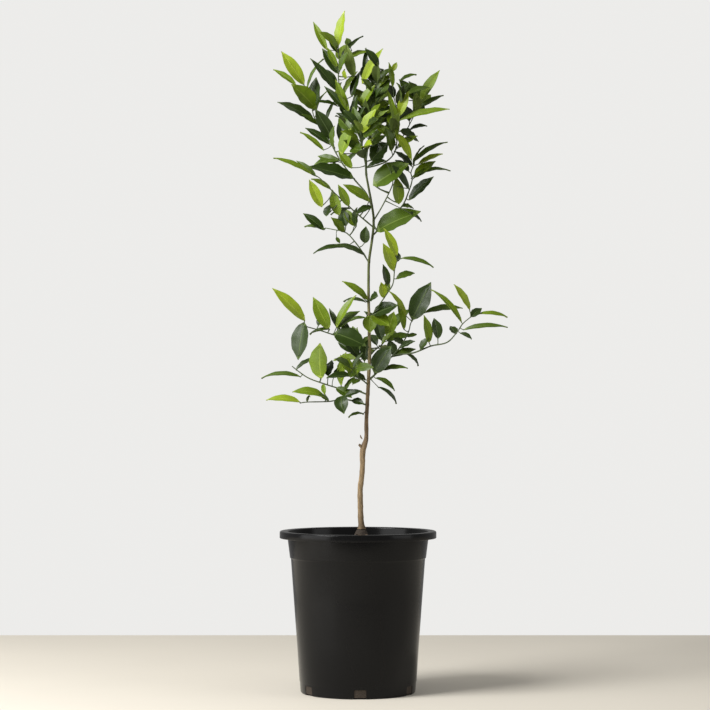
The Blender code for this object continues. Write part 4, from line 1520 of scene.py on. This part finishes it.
@dataclass
class Fruitlet:
    """The one small green fruit with its stalk.

    Attributes:
        pixel: Pixel column and row of its middle in the picture.
        depth: Millimetres that it lies behind the plane of the stem.
        radius: Its radius.
        flat: Its height as a share of its width.
        sides: Steps of its skin round the middle and from top to bottom.
        dimples: Depth of the skin's dimples, and their scale for metres.
        crown: Height over its middle at which the stalk starts, as a share of the radius.
        stalk: Points of its stalk from there, with the radius at each.
        stalk_sides: Sides of the stalk.
    """

    pixel: tuple[float, float] = (412.0, 115.0)
    depth: float = 4.0
    radius: float = 4.6
    flat: float = 0.92
    sides: tuple[int, int] = (24, 14)
    dimples: tuple[float, float] = (0.08, 2500.0)
    crown: float = 0.85
    stalk: Sequence[Knot] = ((0, 0, 0, 1.6), (2, 3, 6, 0.8), (5, 10, 10, 0.8))
    stalk_sides: int = 7
    skin: FruitFinish = FruitFinish()
    wood: TwigFinish = TwigFinish()

    def build(self) -> None:
        """Builds the fruitlet on a short stalk."""
        middle = SIGHT.place(*self.pixel, self.depth)
        size = self.radius * MM
        depth, scale = self.dimples
        round_it, down_it = self.sides
        shape = bmesh.new()
        ball = bmesh.ops.create_uvsphere(shape, u_segments=round_it, v_segments=down_it, radius=size)["verts"]
        for vertex in ball:
            vertex.co.z *= self.flat
            vertex.co += vertex.co.normalized() * depth * MM * noise.noise(vertex.co * scale)
        bmesh.ops.translate(shape, verts=ball, vec=middle)
        linked("fruitlet", shape, [self.skin.material()])
        stalk = bmesh.new()
        sprig(stalk, self.stalk, self.stalk_sides, middle + UP * size * self.crown)
        linked("fruitlet_stalk", stalk, [self.wood.material()])


@dataclass(frozen=True)
class Lamp:
    """One soft area lamp.

    Attributes:
        name: The lamp's name.
        place: Where it hangs, in metres.
        aim: What it points at, in metres.
        size: Its width and height in metres.
        power: Its power in watts.
    """

    name: str
    place: Point
    aim: Point
    size: tuple[float, float]
    power: float

    def hang(self) -> None:
        """Hangs the lamp."""
        light = bpy.data.lights.new(self.name, "AREA")
        light.shape = "RECTANGLE"
        light.size, light.size_y = self.size
        light.energy = self.power
        item = bpy.data.objects.new(self.name, light)
        item.location = self.place
        item.rotation_euler = (Vector(self.aim) - Vector(self.place)).to_track_quat("-Z", "Y").to_euler()
        bpy.context.scene.collection.objects.link(item)


@dataclass
class Studio:
    """The plain floor, the light and the photograph's camera.

    Attributes:
        slab: Width, depth and thickness of the floor in metres.
        sunk: How far the floor's top lies under the pot, in metres.
        lens: The camera's focal length.
        sensor: The camera's sensor width.
        side: The camera's place along X, in metres.
        tilt: How far the camera looks up, in degrees.
        wall: Colour of the surroundings.
        sky: Strength of the surroundings as a light.
        stone: Colour of the floor.
        lamps: The lamps.
    """

    slab: Point = (5.82, 1.94, 0.04)
    sunk: float = 0.0001
    lens: float = 109.3
    sensor: float = 36.0
    side: float = -0.0054
    tilt: float = 1.46
    wall: Colour = (0.845, 0.84, 0.825)
    sky: float = 0.34
    stone: Colour = (0.86, 0.80, 0.69)
    lamps: Sequence[Lamp] = (
        Lamp("key", (-1.9, -1.3, 2.3), (0, 0, 0.7), (1.3, 1.6), 92),
        Lamp("side", (-1.9, -0.9, 0.7), (0, 0, 0.4), (1.9, 1.7), 26),
        Lamp("fill", (2.3, -1.0, 1.0), (0, 0, 0.5), (1.5, 2.0), 13),
    )

    def ground(self) -> None:
        """Lays the floor, a slab of pale stone."""
        shape = bmesh.new()
        bmesh.ops.create_cube(shape, size=1.0)
        bmesh.ops.scale(shape, verts=shape.verts, vec=self.slab)
        bmesh.ops.translate(shape, verts=shape.verts, vec=(0, 0, -self.slab[2] / 2 - self.sunk))
        sheet = Sheet("floor_stone")
        cloud = sheet.noise(3.0, 4.0)
        mesh = bpy.data.meshes.new("floor")
        shape.to_mesh(mesh)
        shape.free()
        colour = sheet.blend(cloud, toned(self.stone, 0.94), self.stone)
        mesh.materials.append(sheet.dress(Base_Color=colour, Roughness=0.7))
        slab = bpy.data.objects.new("floor", mesh)
        bpy.context.scene.collection.objects.link(slab)

    def world(self) -> None:
        """Makes the pale surroundings: bright to the camera, softer as a light."""
        world = bpy.data.worlds.new("studio")
        world.use_nodes = True
        bpy.context.scene.world = world
        tree = world.node_tree
        back = tree.nodes["Background"]
        seen = tree.nodes.new("ShaderNodeBackground")
        for item, strength in ((back, self.sky), (seen, 1.0)):
            item.inputs["Color"].default_value = (*self.wall, 1.0)
            item.inputs["Strength"].default_value = strength
        path = tree.nodes.new("ShaderNodeLightPath")
        mix = tree.nodes.new("ShaderNodeMixShader")
        tree.links.new(path.outputs["Is Camera Ray"], mix.inputs["Fac"])
        tree.links.new(back.outputs["Background"], mix.inputs[1])
        tree.links.new(seen.outputs["Background"], mix.inputs[2])
        tree.links.new(mix.outputs["Shader"], tree.nodes["World Output"].inputs["Surface"])

    def camera(self) -> None:
        """Sets up the photograph's camera."""
        data = bpy.data.cameras.new("camera")
        data.lens, data.sensor_width = self.lens, self.sensor
        item = bpy.data.objects.new("camera", data)
        item.location = (self.side, -SIGHT.distance, SIGHT.height)
        item.rotation_euler = (math.radians(90 + self.tilt), 0, 0)
        bpy.context.scene.collection.objects.link(item)
        bpy.context.scene.camera = item

    def build(self) -> None:
        """Builds the whole set."""
        self.ground()
        self.world()
        for lamp in self.lamps:
            lamp.hang()
        self.camera()
        bpy.context.scene.view_settings.view_transform = "Standard"


def main() -> None:
    """Builds the set, the pot and the tree."""
    logging.basicConfig(level=logging.INFO, format="%(name)s: %(message)s")
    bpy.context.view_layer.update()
    for part in (Studio(), Pot(), PottingMix(), Trunk(), Crown(), Fruitlet()):
        part.build()
        LOG.info("%s done", type(part).__name__)


if __name__ == "__main__":
    main()
